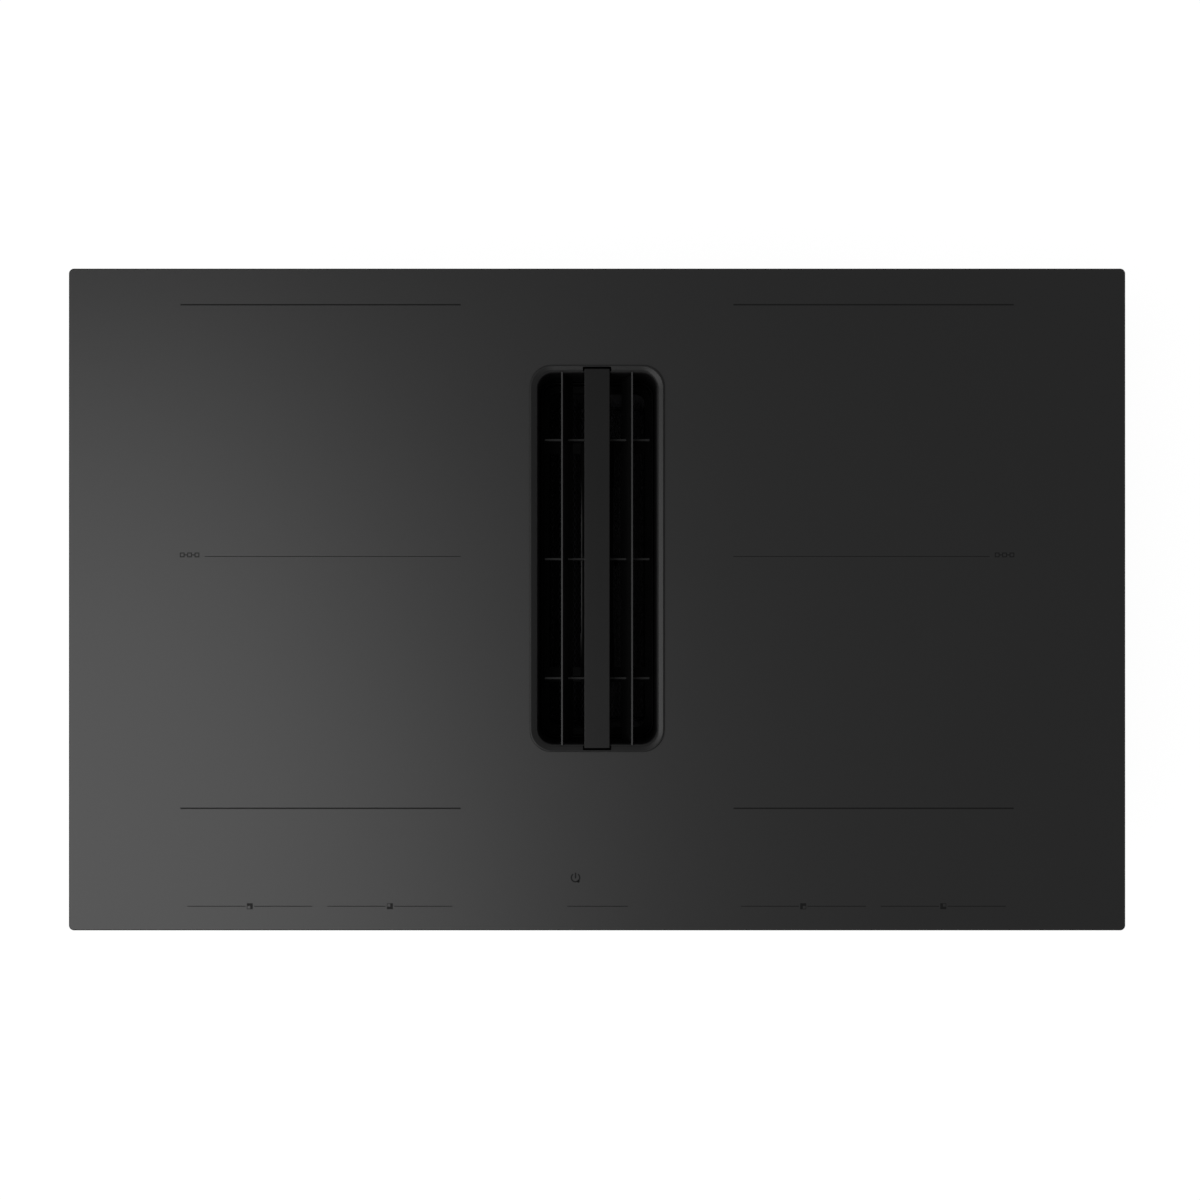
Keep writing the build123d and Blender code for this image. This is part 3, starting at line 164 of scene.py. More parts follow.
class Shader:
    """Node tree of one material or of the world."""

    def __init__(self, owner: Any, output: str = "ShaderNodeOutputMaterial") -> None:
        """Empties the owner's tree and adds its output node.

        Args:
            owner: the material or the world.
            output: type of its output node.
        """
        owner.use_nodes = True
        self.tree = owner.node_tree
        self.tree.nodes.clear()
        self.output = self.node(output)

    def node(
        self,
        kind: str,
        settings: Mapping[str, Any] | None = None,
        inputs: Mapping[str | int, Any] | None = None,
    ) -> bpy.types.Node:
        """Adds a node, sets it and fills its sockets.

        Args:
            kind: type of the node.
            settings: its properties.
            inputs: values or links of its sockets.

        Returns:
            The new node.
        """
        made = self.tree.nodes.new(kind)
        for name, setting in (settings or {}).items():
            setattr(made, name, setting)
        for name, given in (inputs or {}).items():
            if isinstance(given, Value):
                self.tree.links.new(given.socket, made.inputs[name])
            elif isinstance(given, tuple) and len(given) == 3:
                size = len(made.inputs[name].default_value)
                made.inputs[name].default_value = (*given, 1.0)[:size]
            else:
                made.inputs[name].default_value = given
        return made

    def value(
        self,
        kind: str,
        settings: Mapping[str, Any] | None = None,
        inputs: Mapping[str | int, Any] | None = None,
        output: str | int = 0,
    ) -> Value:
        """Adds a node and gives one of its outputs.

        Args:
            kind: type of the node.
            settings: its properties.
            inputs: values or links of its sockets.
            output: name or number of the output.

        Returns:
            The output as a value.
        """
        return Value(self, self.node(kind, settings, inputs).outputs[output])

    def place(self, stretch: Axes = EVEN) -> Value:
        """Position on the part in metres.

        Args:
            stretch: factor on each axis.

        Returns:
            The position as a value.
        """
        spot = self.value("ShaderNodeTexCoord", output="Object")
        if stretch == EVEN:
            return spot
        return self.value("ShaderNodeVectorMath", {"operation": "MULTIPLY"}, {0: spot, 1: stretch})

    def along(self, axis: str, vector: Value | None = None) -> Value:
        """Part of a vector along X, Y or Z; of the position on the piece if none is given."""
        return self.value("ShaderNodeSeparateXYZ", None, {0: vector or self.place()}, axis)

    def upward(self, low: float, high: float) -> Value:
        """Mask of the faces that look up: 0 where the normal's Z is low, 1 from high on."""
        facing = self.value("ShaderNodeNewGeometry", output="Normal")
        return self.along("Z", facing).above(low, high)

    def noise(self, pitch: float, detail: float, stretch: Axes = EVEN) -> Value:
        """Smooth noise from 0 to 1.

        Args:
            pitch: size of one feature in metres.
            detail: octaves of finer noise on top.
            stretch: factor on each axis; a small one draws the noise out along it.

        Returns:
            The noise as a value.
        """
        inputs = {"Vector": self.place(stretch), "Scale": 1.0 / pitch, "Detail": detail}
        return self.value("ShaderNodeTexNoise", None, inputs, "Fac")

    def cells(self, pitch: float, output: str = "Distance") -> Value:
        """Voronoi cells of the given pitch in metres: their distance or their colour."""
        inputs = {"Vector": self.place(), "Scale": 1.0 / pitch}
        return self.value("ShaderNodeTexVoronoi", None, inputs, output)

    def mix(self, share: Value, first: Value | Colour, second: Colour) -> Value:
        """Mixes two colours.

        Args:
            share: 0 for the first colour, 1 for the second.
            first: colour or value.
            second: colour.

        Returns:
            The mixed colour as a value.
        """
        made = self.node("ShaderNodeMix", {"data_type": "RGBA"})
        for name, given in {"Factor": share, "A": first, "B": second}.items():
            socket = [s for s in made.inputs if s.name == name and s.enabled][0]
            if isinstance(given, Value):
                self.tree.links.new(given.socket, socket)
            else:
                socket.default_value = (*given, 1.0)
        return Value(self, [s for s in made.outputs if s.enabled][0])

    def bump(self, height: Value, depth: float) -> Value:
        """Normal bent by a height field whose full range is depth metres."""
        inputs = {"Height": height, "Distance": depth, "Strength": 1.0}
        return self.value("ShaderNodeBump", None, inputs)

    def principled(self, inputs: Mapping[str, Any]) -> Value:
        """Principled surface with the given sockets."""
        return self.value("ShaderNodeBsdfPrincipled", None, inputs)

    def surface(self, closure: Value) -> None:
        """Links a closure to the output."""
        self.tree.links.new(closure.socket, self.output.inputs["Surface"])


def shade(colour: Colour, factor: float) -> Colour:
    """The colour made lighter or darker by a factor."""
    return (colour[0] * factor, colour[1] * factor, colour[2] * factor)


def swing(texture: Value, spread: float) -> Value:
    """What a texture of 0 to 1 adds to or takes from a value, over a spread in all."""
    return (texture - 0.5) * spread


# --------------------------------------------------------------------------- finishes
@dataclass(frozen=True)
class Finish:
    """Finish of a surface: fine grain over a slowly changing tone.

    The tone varies by the share "cloud" up and down. The roughness varies over "cloud_gloss"
    with it and over "grain_gloss" with the grain. Details are octaves of noise.
    """

    name: str
    slot: str
    colour: Colour
    roughness: float
    metallic: float = 0.0
    specular: float = 0.5
    cloud_pitch: float = 60 * MM
    cloud: float = 0.08
    cloud_detail: float = 3.0
    cloud_gloss: float = 0.08
    grain_pitch: float = 0.9 * MM
    grain_depth: float = 0.01 * MM
    grain_detail: float = 3.0
    grain_gloss: float = 0.06

    def material(self) -> bpy.types.Material:
        """The finish's material, made on its first use."""
        made = bpy.data.materials.get(self.name)
        if made is None:
            made = bpy.data.materials.new(self.name)
            made.diffuse_color = (*self.colour, 1.0)
            shader = Shader(made)
            inputs: dict[str, Any] = {
                "Base Color": self.colour,
                "Roughness": self.roughness,
                "Metallic": self.metallic,
                "Specular IOR Level": self.specular,
            }
            inputs.update(self.detail(shader))
            shader.surface(self.close(shader, inputs))
        return made

    def detail(self, shader: Shader) -> dict[str, Any]:
        """What changes over the surface.

        Args:
            shader: the material's tree.

        Returns:
            Sockets of the Principled surface and the values that feed them.
        """
        cloud = shader.noise(self.cloud_pitch, self.cloud_detail)
        grain = shader.noise(self.grain_pitch, self.grain_detail)
        return {
            "Base Color": self.tone(shader, cloud),
            "Roughness": self.gloss(cloud, grain),
            "Normal": shader.bump(grain, self.grain_depth),
        }

    def tone(self, shader: Shader, texture: Value) -> Value:
        """The colour, darker and lighter by the share "cloud" as a texture falls and rises."""
        dark, light = shade(self.colour, 1 - self.cloud), shade(self.colour, 1 + self.cloud)
        return shader.mix(texture, dark, light)

    def gloss(self, cloud: Value, grain: Value) -> Value:
        """The roughness as cloud and grain vary it."""
        return self.roughness + swing(cloud, self.cloud_gloss) + swing(grain, self.grain_gloss)

    def close(self, shader: Shader, inputs: Mapping[str, Any]) -> Value:
        """The whole surface.

        Args:
            shader: the material's tree.
            inputs: sockets of the Principled surface and what feeds them.

        Returns:
            The closure for the output.
        """
        return shader.principled(inputs)


@dataclass(frozen=True)
class FaceFinish(Finish):
    """Finish of a flat face with painted shade on its edges and sides, which take less light than
    the face.
    """

    cloud_gloss: float = 0.02
    grain_detail: float = 2.0
    grain_gloss: float = 0.02
    side_shade_colour: Colour = (0.004, 0.004, 0.004)
    side_roughness: float = 0.5
    side_specular: float = 0.1
    lean: Point = (0.8, 0.95)

    def detail(self, shader: Shader) -> dict[str, Any]:
        """Faint unevenness of the face; see Finish.detail."""
        cloud = shader.noise(self.cloud_pitch, self.cloud_detail)
        grain = shader.noise(self.grain_pitch, self.grain_detail)
        return {
            "Base Color": shader.mix(cloud, self.colour, shade(self.colour, 1 + self.cloud)),
            "Roughness": self.gloss(cloud, grain),
            "Normal": shader.bump(grain, self.grain_depth),
        }

    def close(self, shader: Shader, inputs: Mapping[str, Any]) -> Value:
        """Face and side in painted shade, told apart by face_mask; see Finish.close."""
        side = {
            "Base Color": self.side_shade_colour,
            "Roughness": self.side_roughness,
            "Specular IOR Level": self.side_specular,
        }
        parts = {
            0: self.face_mask(shader),
            1: shader.principled(side),
            2: shader.principled(inputs),
        }
        return shader.value("ShaderNodeMixShader", None, parts)

    def face_mask(self, shader: Shader) -> Value:
        """The face, told from the sides by how far the normal leans."""
        return shader.upward(*self.lean)


@dataclass(frozen=True)
class GlassCeramic(FaceFinish):
    """Etched glass ceramic whose polished ground edge reads as a dark line of painted shade."""

    half_width: float = 415 * MM
    half_depth: float = 260 * MM
    edge_start: float = -0.9 * MM
    edge_full: float = -0.72 * MM

    def face_mask(self, shader: Shader) -> Value:
        """The face inside the ground edge; the edge band gets the painted shade of the sides; see
        FaceFinish.face_mask.
        """
        across = abs(shader.along("X")) - self.half_width
        along = abs(shader.along("Y")) - self.half_depth
        outside = across.larger(along).above(self.edge_start, self.edge_full)
        return shader.upward(*self.lean) * (1.0 - outside)


@dataclass(frozen=True)
class Lattice(FaceFinish):
    """Moulded lattice with painted shade on its sides and a painted tone on the level tops of its
    deep ribs, which take less light than its top edges.
    """

    deep_rib_painted_tone: Colour = (0.02, 0.02, 0.02)
    deep_specular: float = 0.12
    deep: Point = (-6 * MM, -5 * MM)
    deep_lean: Point = (0.9, 0.98)

    def close(self, shader: Shader, inputs: Mapping[str, Any]) -> Value:
        """Top edges, sides and level tops of deep ribs with their painted tone, by normal and
        level; see Finish.close.
        """
        low = 1.0 - shader.along("Z").above(*self.deep)
        deep = {
            "Base Color": self.deep_rib_painted_tone,
            "Roughness": self.side_roughness,
            "Specular IOR Level": self.deep_specular,
        }
        parts = {
            0: low * shader.upward(*self.deep_lean),
            1: super().close(shader, inputs),
            2: shader.principled(deep),
        }
        return shader.value("ShaderNodeMixShader", None, parts)


@dataclass(frozen=True)
class RecessedEnamel(Finish):
    """Enamel with painted shade that keeps the floors of recesses matt black."""

    recess: Point = (6.6 * MM, 6.7 * MM)
    recess_lean: Point = (0.99, 0.999)
    recess_shade_colour: Colour = (0.0015, 0.0015, 0.0015)
    recess_roughness: float = 0.72

    def close(self, shader: Shader, inputs: Mapping[str, Any]) -> Value:
        """Enamel and the recess floor in painted shade, told apart by level and normal; see
        Finish.close.
        """
        low = 1.0 - shader.along("Z").above(*self.recess)
        floor = {
            "Base Color": self.recess_shade_colour,
            "Roughness": self.recess_roughness,
            "Specular IOR Level": 0.0,
        }
        parts = {
            0: low * shader.upward(*self.recess_lean),
            1: shader.principled(inputs),
            2: shader.principled(floor),
        }
        return shader.value("ShaderNodeMixShader", None, parts)


@dataclass(frozen=True)
class Moulding(Finish):
    """Moulded plastic with an eroded grain."""

    cloud_gloss: float = 0.1
    grain_gloss: float = 0.08

    def detail(self, shader: Shader) -> dict[str, Any]:
        """Pebbled grain with a slight sheen on its tops; see Finish.detail."""
        cloud = shader.noise(self.cloud_pitch, self.cloud_detail)
        pebble = shader.cells(self.grain_pitch)
        matt = self.roughness + swing(cloud, self.cloud_gloss)
        return {
            "Base Color": self.tone(shader, cloud),
            "Roughness": matt - pebble * self.grain_gloss,
            "Normal": shader.bump(pebble, self.grain_depth),
        }


@dataclass(frozen=True)
class Grip(Finish):
    """Coated grip with a painted highlight: a bright line along its left shoulder."""

    painted_highlight_colour: Colour = (0.28, 0.28, 0.28)
    line_x: float = -13.75 * MM
    line_width: Point = (0.2 * MM, 1.8 * MM)
    line_y: float = 25 * MM
    line_reach: Point = (25 * MM, 78 * MM)

    def detail(self, shader: Shader) -> dict[str, Any]:
        """Painted highlight: a bright line that fades along and across the grip; see
        Finish.detail.
        """
        inputs = super().detail(shader)
        across = 1.0 - (shader.along("X") - self.line_x).above(*self.line_width)
        along = 1.0 - abs(shader.along("Y") - self.line_y).above(*self.line_reach)
        base = inputs["Base Color"]
        inputs["Base Color"] = shader.mix(across * along, base, self.painted_highlight_colour)
        return inputs


@dataclass(frozen=True)
class Galvanised(Finish):
    """Zinc-coated sheet with its spangle of crystals."""

    cloud_gloss: float = 0.16
    grain_detail: float = 4.0
    grain_gloss: float = 0.1
    crystal_share: float = 0.7

    def detail(self, shader: Shader) -> dict[str, Any]:
        """Crystals that differ in tone and gloss; see Finish.detail."""
        colour = shader.cells(self.cloud_pitch, "Color")
        crystal = shader.value("ShaderNodeRGBToBW", None, {0: colour})
        streak = shader.noise(self.grain_pitch, self.grain_detail)
        spangle = crystal * self.crystal_share + streak * (1 - self.crystal_share)
        return {
            "Base Color": self.tone(shader, spangle),
            "Roughness": self.gloss(crystal, streak),
            "Normal": shader.bump(streak, self.grain_depth),
        }


@dataclass(frozen=True)
class Brushed(Finish):
    """Metal with drawn or ground lines along one axis."""

    grain_detail: float = 4.0
    grain_gloss: float = 0.2
    stretch: Axes = (1.0, 0.02, 1.0)

    def detail(self, shader: Shader) -> dict[str, Any]:
        """Fine lines in tone, gloss and height; see Finish.detail."""
        line = shader.noise(self.grain_pitch, self.grain_detail, self.stretch)
        return {
            "Base Color": self.tone(shader, line),
            "Roughness": self.roughness + swing(line, self.grain_gloss),
            "Normal": shader.bump(line, self.grain_depth),
        }


@dataclass(frozen=True)
class Wound(Finish):
    """Flat winding of enamelled wire round a rectangular coil."""

    width: float = 190 * MM
    grain_detail: float = 2.0
    grain_gloss: float = 0.15
    turn_pitch: float = 3.4 * MM
    turn_crown: Point = (-0.9, 0.2)
    strand_share: float = 0.2
    gap_shade: float = 0.25

    def detail(self, shader: Shader) -> dict[str, Any]:
        """Turns that lie side by side with dark gaps between; see Finish.detail."""
        spot = shader.value("ShaderNodeTexCoord", output="Generated")
        across = abs(shader.along("X", spot) - 0.5) * self.width
        along = abs(shader.along("Y", spot) - 0.5) * self.width
        phase = across.larger(along) * (2 * math.pi / self.turn_pitch)
        turn = phase.sine().above(*self.turn_crown)
        strand = shader.noise(self.grain_pitch, self.grain_detail)
        light = (1 - self.strand_share) + strand * self.strand_share
        dark, bright = shade(self.colour, self.gap_shade), shade(self.colour, 1 + self.cloud)
        return {
            "Base Color": shader.mix(turn * light, dark, bright),
            "Roughness": self.roughness + swing(strand, self.grain_gloss),
            "Normal": shader.bump(turn + strand * self.strand_share, self.grain_depth),
        }


@dataclass(frozen=True)
class Foamed(Finish):
    """Foam, felt or fibre with open pores."""

    grain_detail: float = 4.0
    grain_gloss: float = 0.05
    pore_wall: Point = (0.1, 0.6)
    fibre_factor: float = 3.0
    tones: Point = (0.6, 1.3)

    def detail(self, shader: Shader) -> dict[str, Any]:
        """Pores that are darker and deeper than the skin; see Finish.detail."""
        pore = shader.cells(self.grain_pitch).above(*self.pore_wall)
        fibre = shader.noise(self.grain_pitch * self.fibre_factor, self.grain_detail)
        dark, light = (shade(self.colour, tone) for tone in self.tones)
        return {
            "Base Color": shader.mix(pore * fibre, dark, light),
            "Roughness": self.roughness - pore * self.grain_gloss,
            "Normal": shader.bump(pore + fibre, self.grain_depth),
        }


@dataclass(frozen=True)
class Printed(Finish):
    """Screen-printed mark: a thin, even film."""

    grain_detail: float = 1.0

    def detail(self, shader: Shader) -> dict[str, Any]:
        """Fine mesh grain of the print; see Finish.detail."""
        grain = shader.noise(self.grain_pitch, self.grain_detail)
        return {
            "Base Color": shader.mix(grain, self.colour, shade(self.colour, 1 + self.cloud)),
            "Normal": shader.bump(grain, self.grain_depth),
        }


@dataclass(frozen=True)
class CircuitBoard(Finish):
    """Green solder mask over copper tracks."""

    cloud_detail: float = 2.0
    cloud_gloss: float = 0.1
    copper: Colour = (0.16, 0.33, 0.12)
    track_edge: Point = (0.35, 0.4)

    def detail(self, shader: Shader) -> dict[str, Any]:
        """Tracks that shine through the mask and stand a little proud; see Finish.detail."""
        track = shader.cells(self.grain_pitch).above(*self.track_edge)
        cloud = shader.noise(self.cloud_pitch, self.cloud_detail)
        return {
            "Base Color": shader.mix(track, self.colour, self.copper),
            "Roughness": self.roughness + swing(cloud, self.cloud_gloss),
            "Normal": shader.bump(track, self.grain_depth),
        }


# Painted shade on the glass's sides and on the band of its ground edge.
GLASS = GlassCeramic(
    "glass_ceramic", "ceramic_glass", (0.0118, 0.0118, 0.0119), 0.3375, specular=0.375,
    cloud_pitch=180 * MM, cloud=0.1, grain_pitch=0.35 * MM, grain_depth=0.0006 * MM,
)
PRINT = Printed(
    "printed_mark", "ceramic_glass", (0.0095, 0.0095, 0.0095), 0.36, specular=0.075,
    cloud=0.2, grain_pitch=0.2 * MM, grain_depth=0.001 * MM,
)
# Painted shade on the floors of the rim's recesses.
RIM = RecessedEnamel(
    "rim_enamel", "rim_black", (0.0085, 0.0085, 0.0086), 0.36, specular=0.25,
    grain_pitch=1.4 * MM, grain_depth=0.004 * MM,
)
# Painted shade on the bar's edges and sides: a dark outline round the bar.
BAR = FaceFinish(
    "bar_coat", "bar_black", (0.001, 0.001, 0.001), 0.34, specular=0.25,
    cloud_pitch=90 * MM, cloud=0.2, grain_pitch=0.8 * MM, grain_depth=0.002 * MM,
    side_shade_colour=(0.0005, 0.0005, 0.0005), side_specular=0.03,
)
# Painted shade on the lattice's sides; painted tone on the tops of its deep ribs.
LATTICE = Lattice(
    "lattice_moulding", "lattice_black", (0.009, 0.009, 0.0092), 0.42,
    grain_pitch=0.5 * MM, grain_depth=0.006 * MM,
    side_specular=0.2, lean=(0.3, 0.6),
)
SILICONE = Finish("silicone", "silicone", (0.012, 0.012, 0.012), 0.6, grain_depth=0.004 * MM)
FOAM = Foamed("foam", "foam", (0.03, 0.03, 0.031), 0.9, grain_pitch=0.8 * MM, grain_depth=0.2 * MM)
FRAME_COAT = Finish(
    "frame_coat", "filter_coat", (0.0014, 0.0014, 0.0014), 0.5, specular=0.06,
    grain_pitch=0.6 * MM, grain_depth=0.006 * MM,
)
# Painted highlight: a bright line along the handle's left shoulder.
HANDLE_COAT = Grip(
    "handle_coat", "filter_coat", (0.005, 0.005, 0.005), 0.4, specular=0.3,
    grain_pitch=0.6 * MM, grain_depth=0.004 * MM,
)
MESH_COAT = Finish("mesh_coat", "mesh_coat", (0.0015, 0.0015, 0.0015), 0.6, specular=0.02)
TRAY = Moulding("tray_moulding", "tray_plastic", (0.0025, 0.0025, 0.0026), 0.5, specular=0.12)
ZINC = Galvanised(
    "galvanised_sheet", "zinc_sheet", (0.44, 0.45, 0.46), 0.4, metallic=1.0,
    cloud_pitch=5 * MM, cloud=0.1, grain_pitch=1.6 * MM, grain_depth=0.005 * MM,
)
SCREW = Brushed(
    "zinc_screw", "zinc_screw", (0.6, 0.6, 0.6), 0.3, metallic=1.0,
    cloud=0.12, grain_pitch=0.3 * MM, stretch=EVEN, grain_depth=0.006 * MM,
)
SPRING_WIRE = Brushed(
    "spring_wire", "stainless", (0.45, 0.45, 0.46), 0.25, metallic=1.0,
    cloud=0.1, grain_pitch=0.2 * MM, stretch=(1.0, 1.0, 0.05), grain_depth=0.004 * MM,
)
ALUMINIUM = Brushed(
    "mill_aluminium", "coil_aluminium", (0.6, 0.61, 0.62), 0.34, metallic=1.0,
    grain_pitch=0.6 * MM, grain_depth=0.006 * MM,
)
STEEL = Brushed(
    "ground_steel", "steel_bright", (0.55, 0.55, 0.56), 0.22, metallic=1.0,
    cloud=0.1, grain_pitch=0.3 * MM, stretch=(1.0, 1.0, 0.05), grain_depth=0.004 * MM,
)
COPPER = Brushed(
    "enamelled_copper", "copper_winding", (0.6, 0.28, 0.12), 0.3, metallic=1.0,
    cloud=0.25, grain_pitch=1.2 * MM, stretch=(1.0, 1.0, 0.2), grain_depth=0.2 * MM,
)
WINDING = Wound(
    "litz_winding", "copper_winding", (0.58, 0.26, 0.11), 0.34, metallic=1.0,
    cloud=0.1, grain_pitch=0.8 * MM, grain_depth=0.5 * MM,
)
FERRITE = Finish("ferrite", "ferrite", (0.05, 0.05, 0.055), 0.5, grain_depth=0.02 * MM)
SENSOR = Finish("sensor_ceramic", "sensor_ceramic", (0.75, 0.74, 0.7), 0.6)
MAT = Foamed(
    "fibre_mat", "mat_fibre", (0.72, 0.71, 0.67), 0.95, grain_pitch=1.5 * MM, grain_depth=0.4 * MM,
)
NYLON = Moulding("white_nylon", "white_nylon", (0.72, 0.71, 0.68), 0.45, grain_depth=0.004 * MM)
BOARD = CircuitBoard(
    "solder_mask", "circuit_board", (0.02, 0.12, 0.04), 0.3,
    grain_pitch=6 * MM, grain_depth=0.04 * MM,
)
FAN_PLASTIC = Moulding("fan_plastic", "fan_plastic", (0.02, 0.02, 0.021), 0.45)
HOUSING = Moulding(
    "housing_plastic", "housing_plastic", (0.035, 0.035, 0.0365), 0.52,
    grain_pitch=0.7 * MM, grain_depth=0.02 * MM,
)
SCROLL = Moulding("scroll_plastic", "scroll_plastic", (0.06, 0.06, 0.062), 0.5)
IMPELLER = Moulding("impeller_plastic", "impeller_plastic", (0.09, 0.09, 0.095), 0.4)


# --------------------------------------------------------------------------- meshes
# Angles are in degrees.
FULL_TURN = 360.0
ARC_STEP = 12.0
FLAT_ANGLE = 0.5
SHARP_ANGLE = 40.0
CREASE_ANGLE = 35.0
ROUND_ANGLE = 50.0
WELD = 0.002 * MM
BEVEL_SEGMENTS = 2
BEVEL_PROFILE = 0.6


def dress(finish: Finish, *names: str) -> None:
    """Gives carried-over parts a finish.

    Args:
        finish: what their surface is made of.
        names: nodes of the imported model.
    """
    for name in names:
        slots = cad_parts[name].data.materials
        slots.clear()
        slots.append(finish.material())
        log.info("%s wears %s", name, finish.name)


def add_piece(name: str, mesh: bmesh.types.BMesh, finish: Finish, body: Body) -> bpy.types.Object:
    """Turns a finished mesh into a piece of the object.

    Args:
        name: the piece's name.
        mesh: its geometry, freed here.
        finish: what its surface is made of.
        body: the body that it moves with.

    Returns:
        The new piece.
    """
    bmesh.ops.recalc_face_normals(mesh, faces=mesh.faces)
    data = bpy.data.meshes.new(name)
    mesh.to_mesh(data)
    mesh.free()
    data.materials.append(finish.material())
    piece = bpy.data.objects.new(name, data)
    bpy.context.scene.collection.objects.link(piece)
    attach(piece, body.value)
    log.info("%s rides on %s", name, body.value)
    return piece


def prism(mesh: bmesh.types.BMesh, outline: Sequence[Point], low: float, high: float) -> None:
    """Adds an upright prism to a mesh.

    Args:
        mesh: the mesh that grows.
        outline: corners of its plan, in order.
        low: level of its foot.
        high: level of its top.
    """
    feet = [mesh.verts.new((x, y, low)) for x, y in outline]
    tops = [mesh.verts.new((x, y, high)) for x, y in outline]
    mesh.faces.new(feet[::-1])
    mesh.faces.new(tops)
    for k in range(len(outline)):
        after = (k + 1) % len(outline)
        mesh.faces.new((feet[k], feet[after], tops[after], tops[k]))


def rectangle(x: float, y: float, width: float, length: float) -> list[Point]:
    """Corners of an upright rectangle about a centre."""
    a, b = width / 2, length / 2
    return [(x - a, y - b), (x + a, y - b), (x + a, y + b), (x - a, y + b)]


def band(x: float, y: float, radius: float, width: float, start: float, end: float) -> list[Point]:
    """Corners of a stroke along an arc.

    Args:
        x: X of the arc's centre.
        y: Y of the arc's centre.
        radius: radius of the stroke's middle.
        width: width of the stroke.
        start: angle of its first end, in degrees from +X.
        end: angle of its last end.

    Returns:
        The outline of the stroke.
    """
    steps = round((end - start) / ARC_STEP)
    angles = [math.radians(start + (end - start) * k / steps) for k in range(steps + 1)]
    outer, inner = radius + width / 2, radius - width / 2
    there = [(x + outer * math.cos(a), y + outer * math.sin(a)) for a in angles]
    back = [(x + inner * math.cos(a), y + inner * math.sin(a)) for a in reversed(angles)]
    return there + back


def smooth(data: bpy.types.Mesh) -> None:
    """Shades a mesh smooth, with wide faces kept flat and edges beyond ROUND_ANGLE kept hard.

    Args:
        data: the mesh.
    """
    data.shade_smooth()
    limit = math.cos(math.radians(ROUND_ANGLE))
    faces = [(face.normal.copy(), face.area, tuple(face.vertices)) for face in data.polygons]
    around: dict[int, list[int]] = {}
    for number, (_, _, vertices) in enumerate(faces):
        for vertex in vertices:
            around.setdefault(vertex, []).append(number)
    corners = []
    for normal, _, vertices in faces:
        for vertex in vertices:
            total = Vector()
            for near, area, _ in (faces[number] for number in around[vertex]):
                if near.dot(normal) > limit:
                    total += near * area
            corners.append(total.normalized())
    data.normals_split_custom_set(corners)


def smooth_node(name: str) -> None:
    """Shades a carried-over part smooth between its sharp edges.

    Args:
        name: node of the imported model.
    """
    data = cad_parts[name].data
    data.shade_smooth()
    data.set_sharp_from_angle(angle=math.radians(CREASE_ANGLE))


def softened(name: str, node: str, finish: Finish, body: Body, width: float) -> None:
    """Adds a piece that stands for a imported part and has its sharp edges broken.

    Args:
        name: the piece's name.
        node: the part that it stands for.
        finish: what its surface is made of.
        body: the body that it moves with.
        width: width of the small bevel on each sharp edge.
    """
    mesh = bmesh.new()
    mesh.from_mesh(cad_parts[node].data)
    bmesh.ops.remove_doubles(mesh, verts=mesh.verts, dist=WELD)
    flat, bend = math.radians(FLAT_ANGLE), math.radians(SHARP_ANGLE)
    bmesh.ops.dissolve_limit(mesh, angle_limit=flat, verts=mesh.verts, edges=mesh.edges)
    sharp = [e for e in mesh.edges if e.is_manifold and e.calc_face_angle(0.0) > bend]
    bmesh.ops.bevel(
        mesh, geom=sharp, offset=width, segments=BEVEL_SEGMENTS, profile=BEVEL_PROFILE,
        affect="EDGES", clamp_overlap=True,
    )
    piece = add_piece(name, mesh, finish, body)
    smooth(piece.data)
    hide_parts(node)


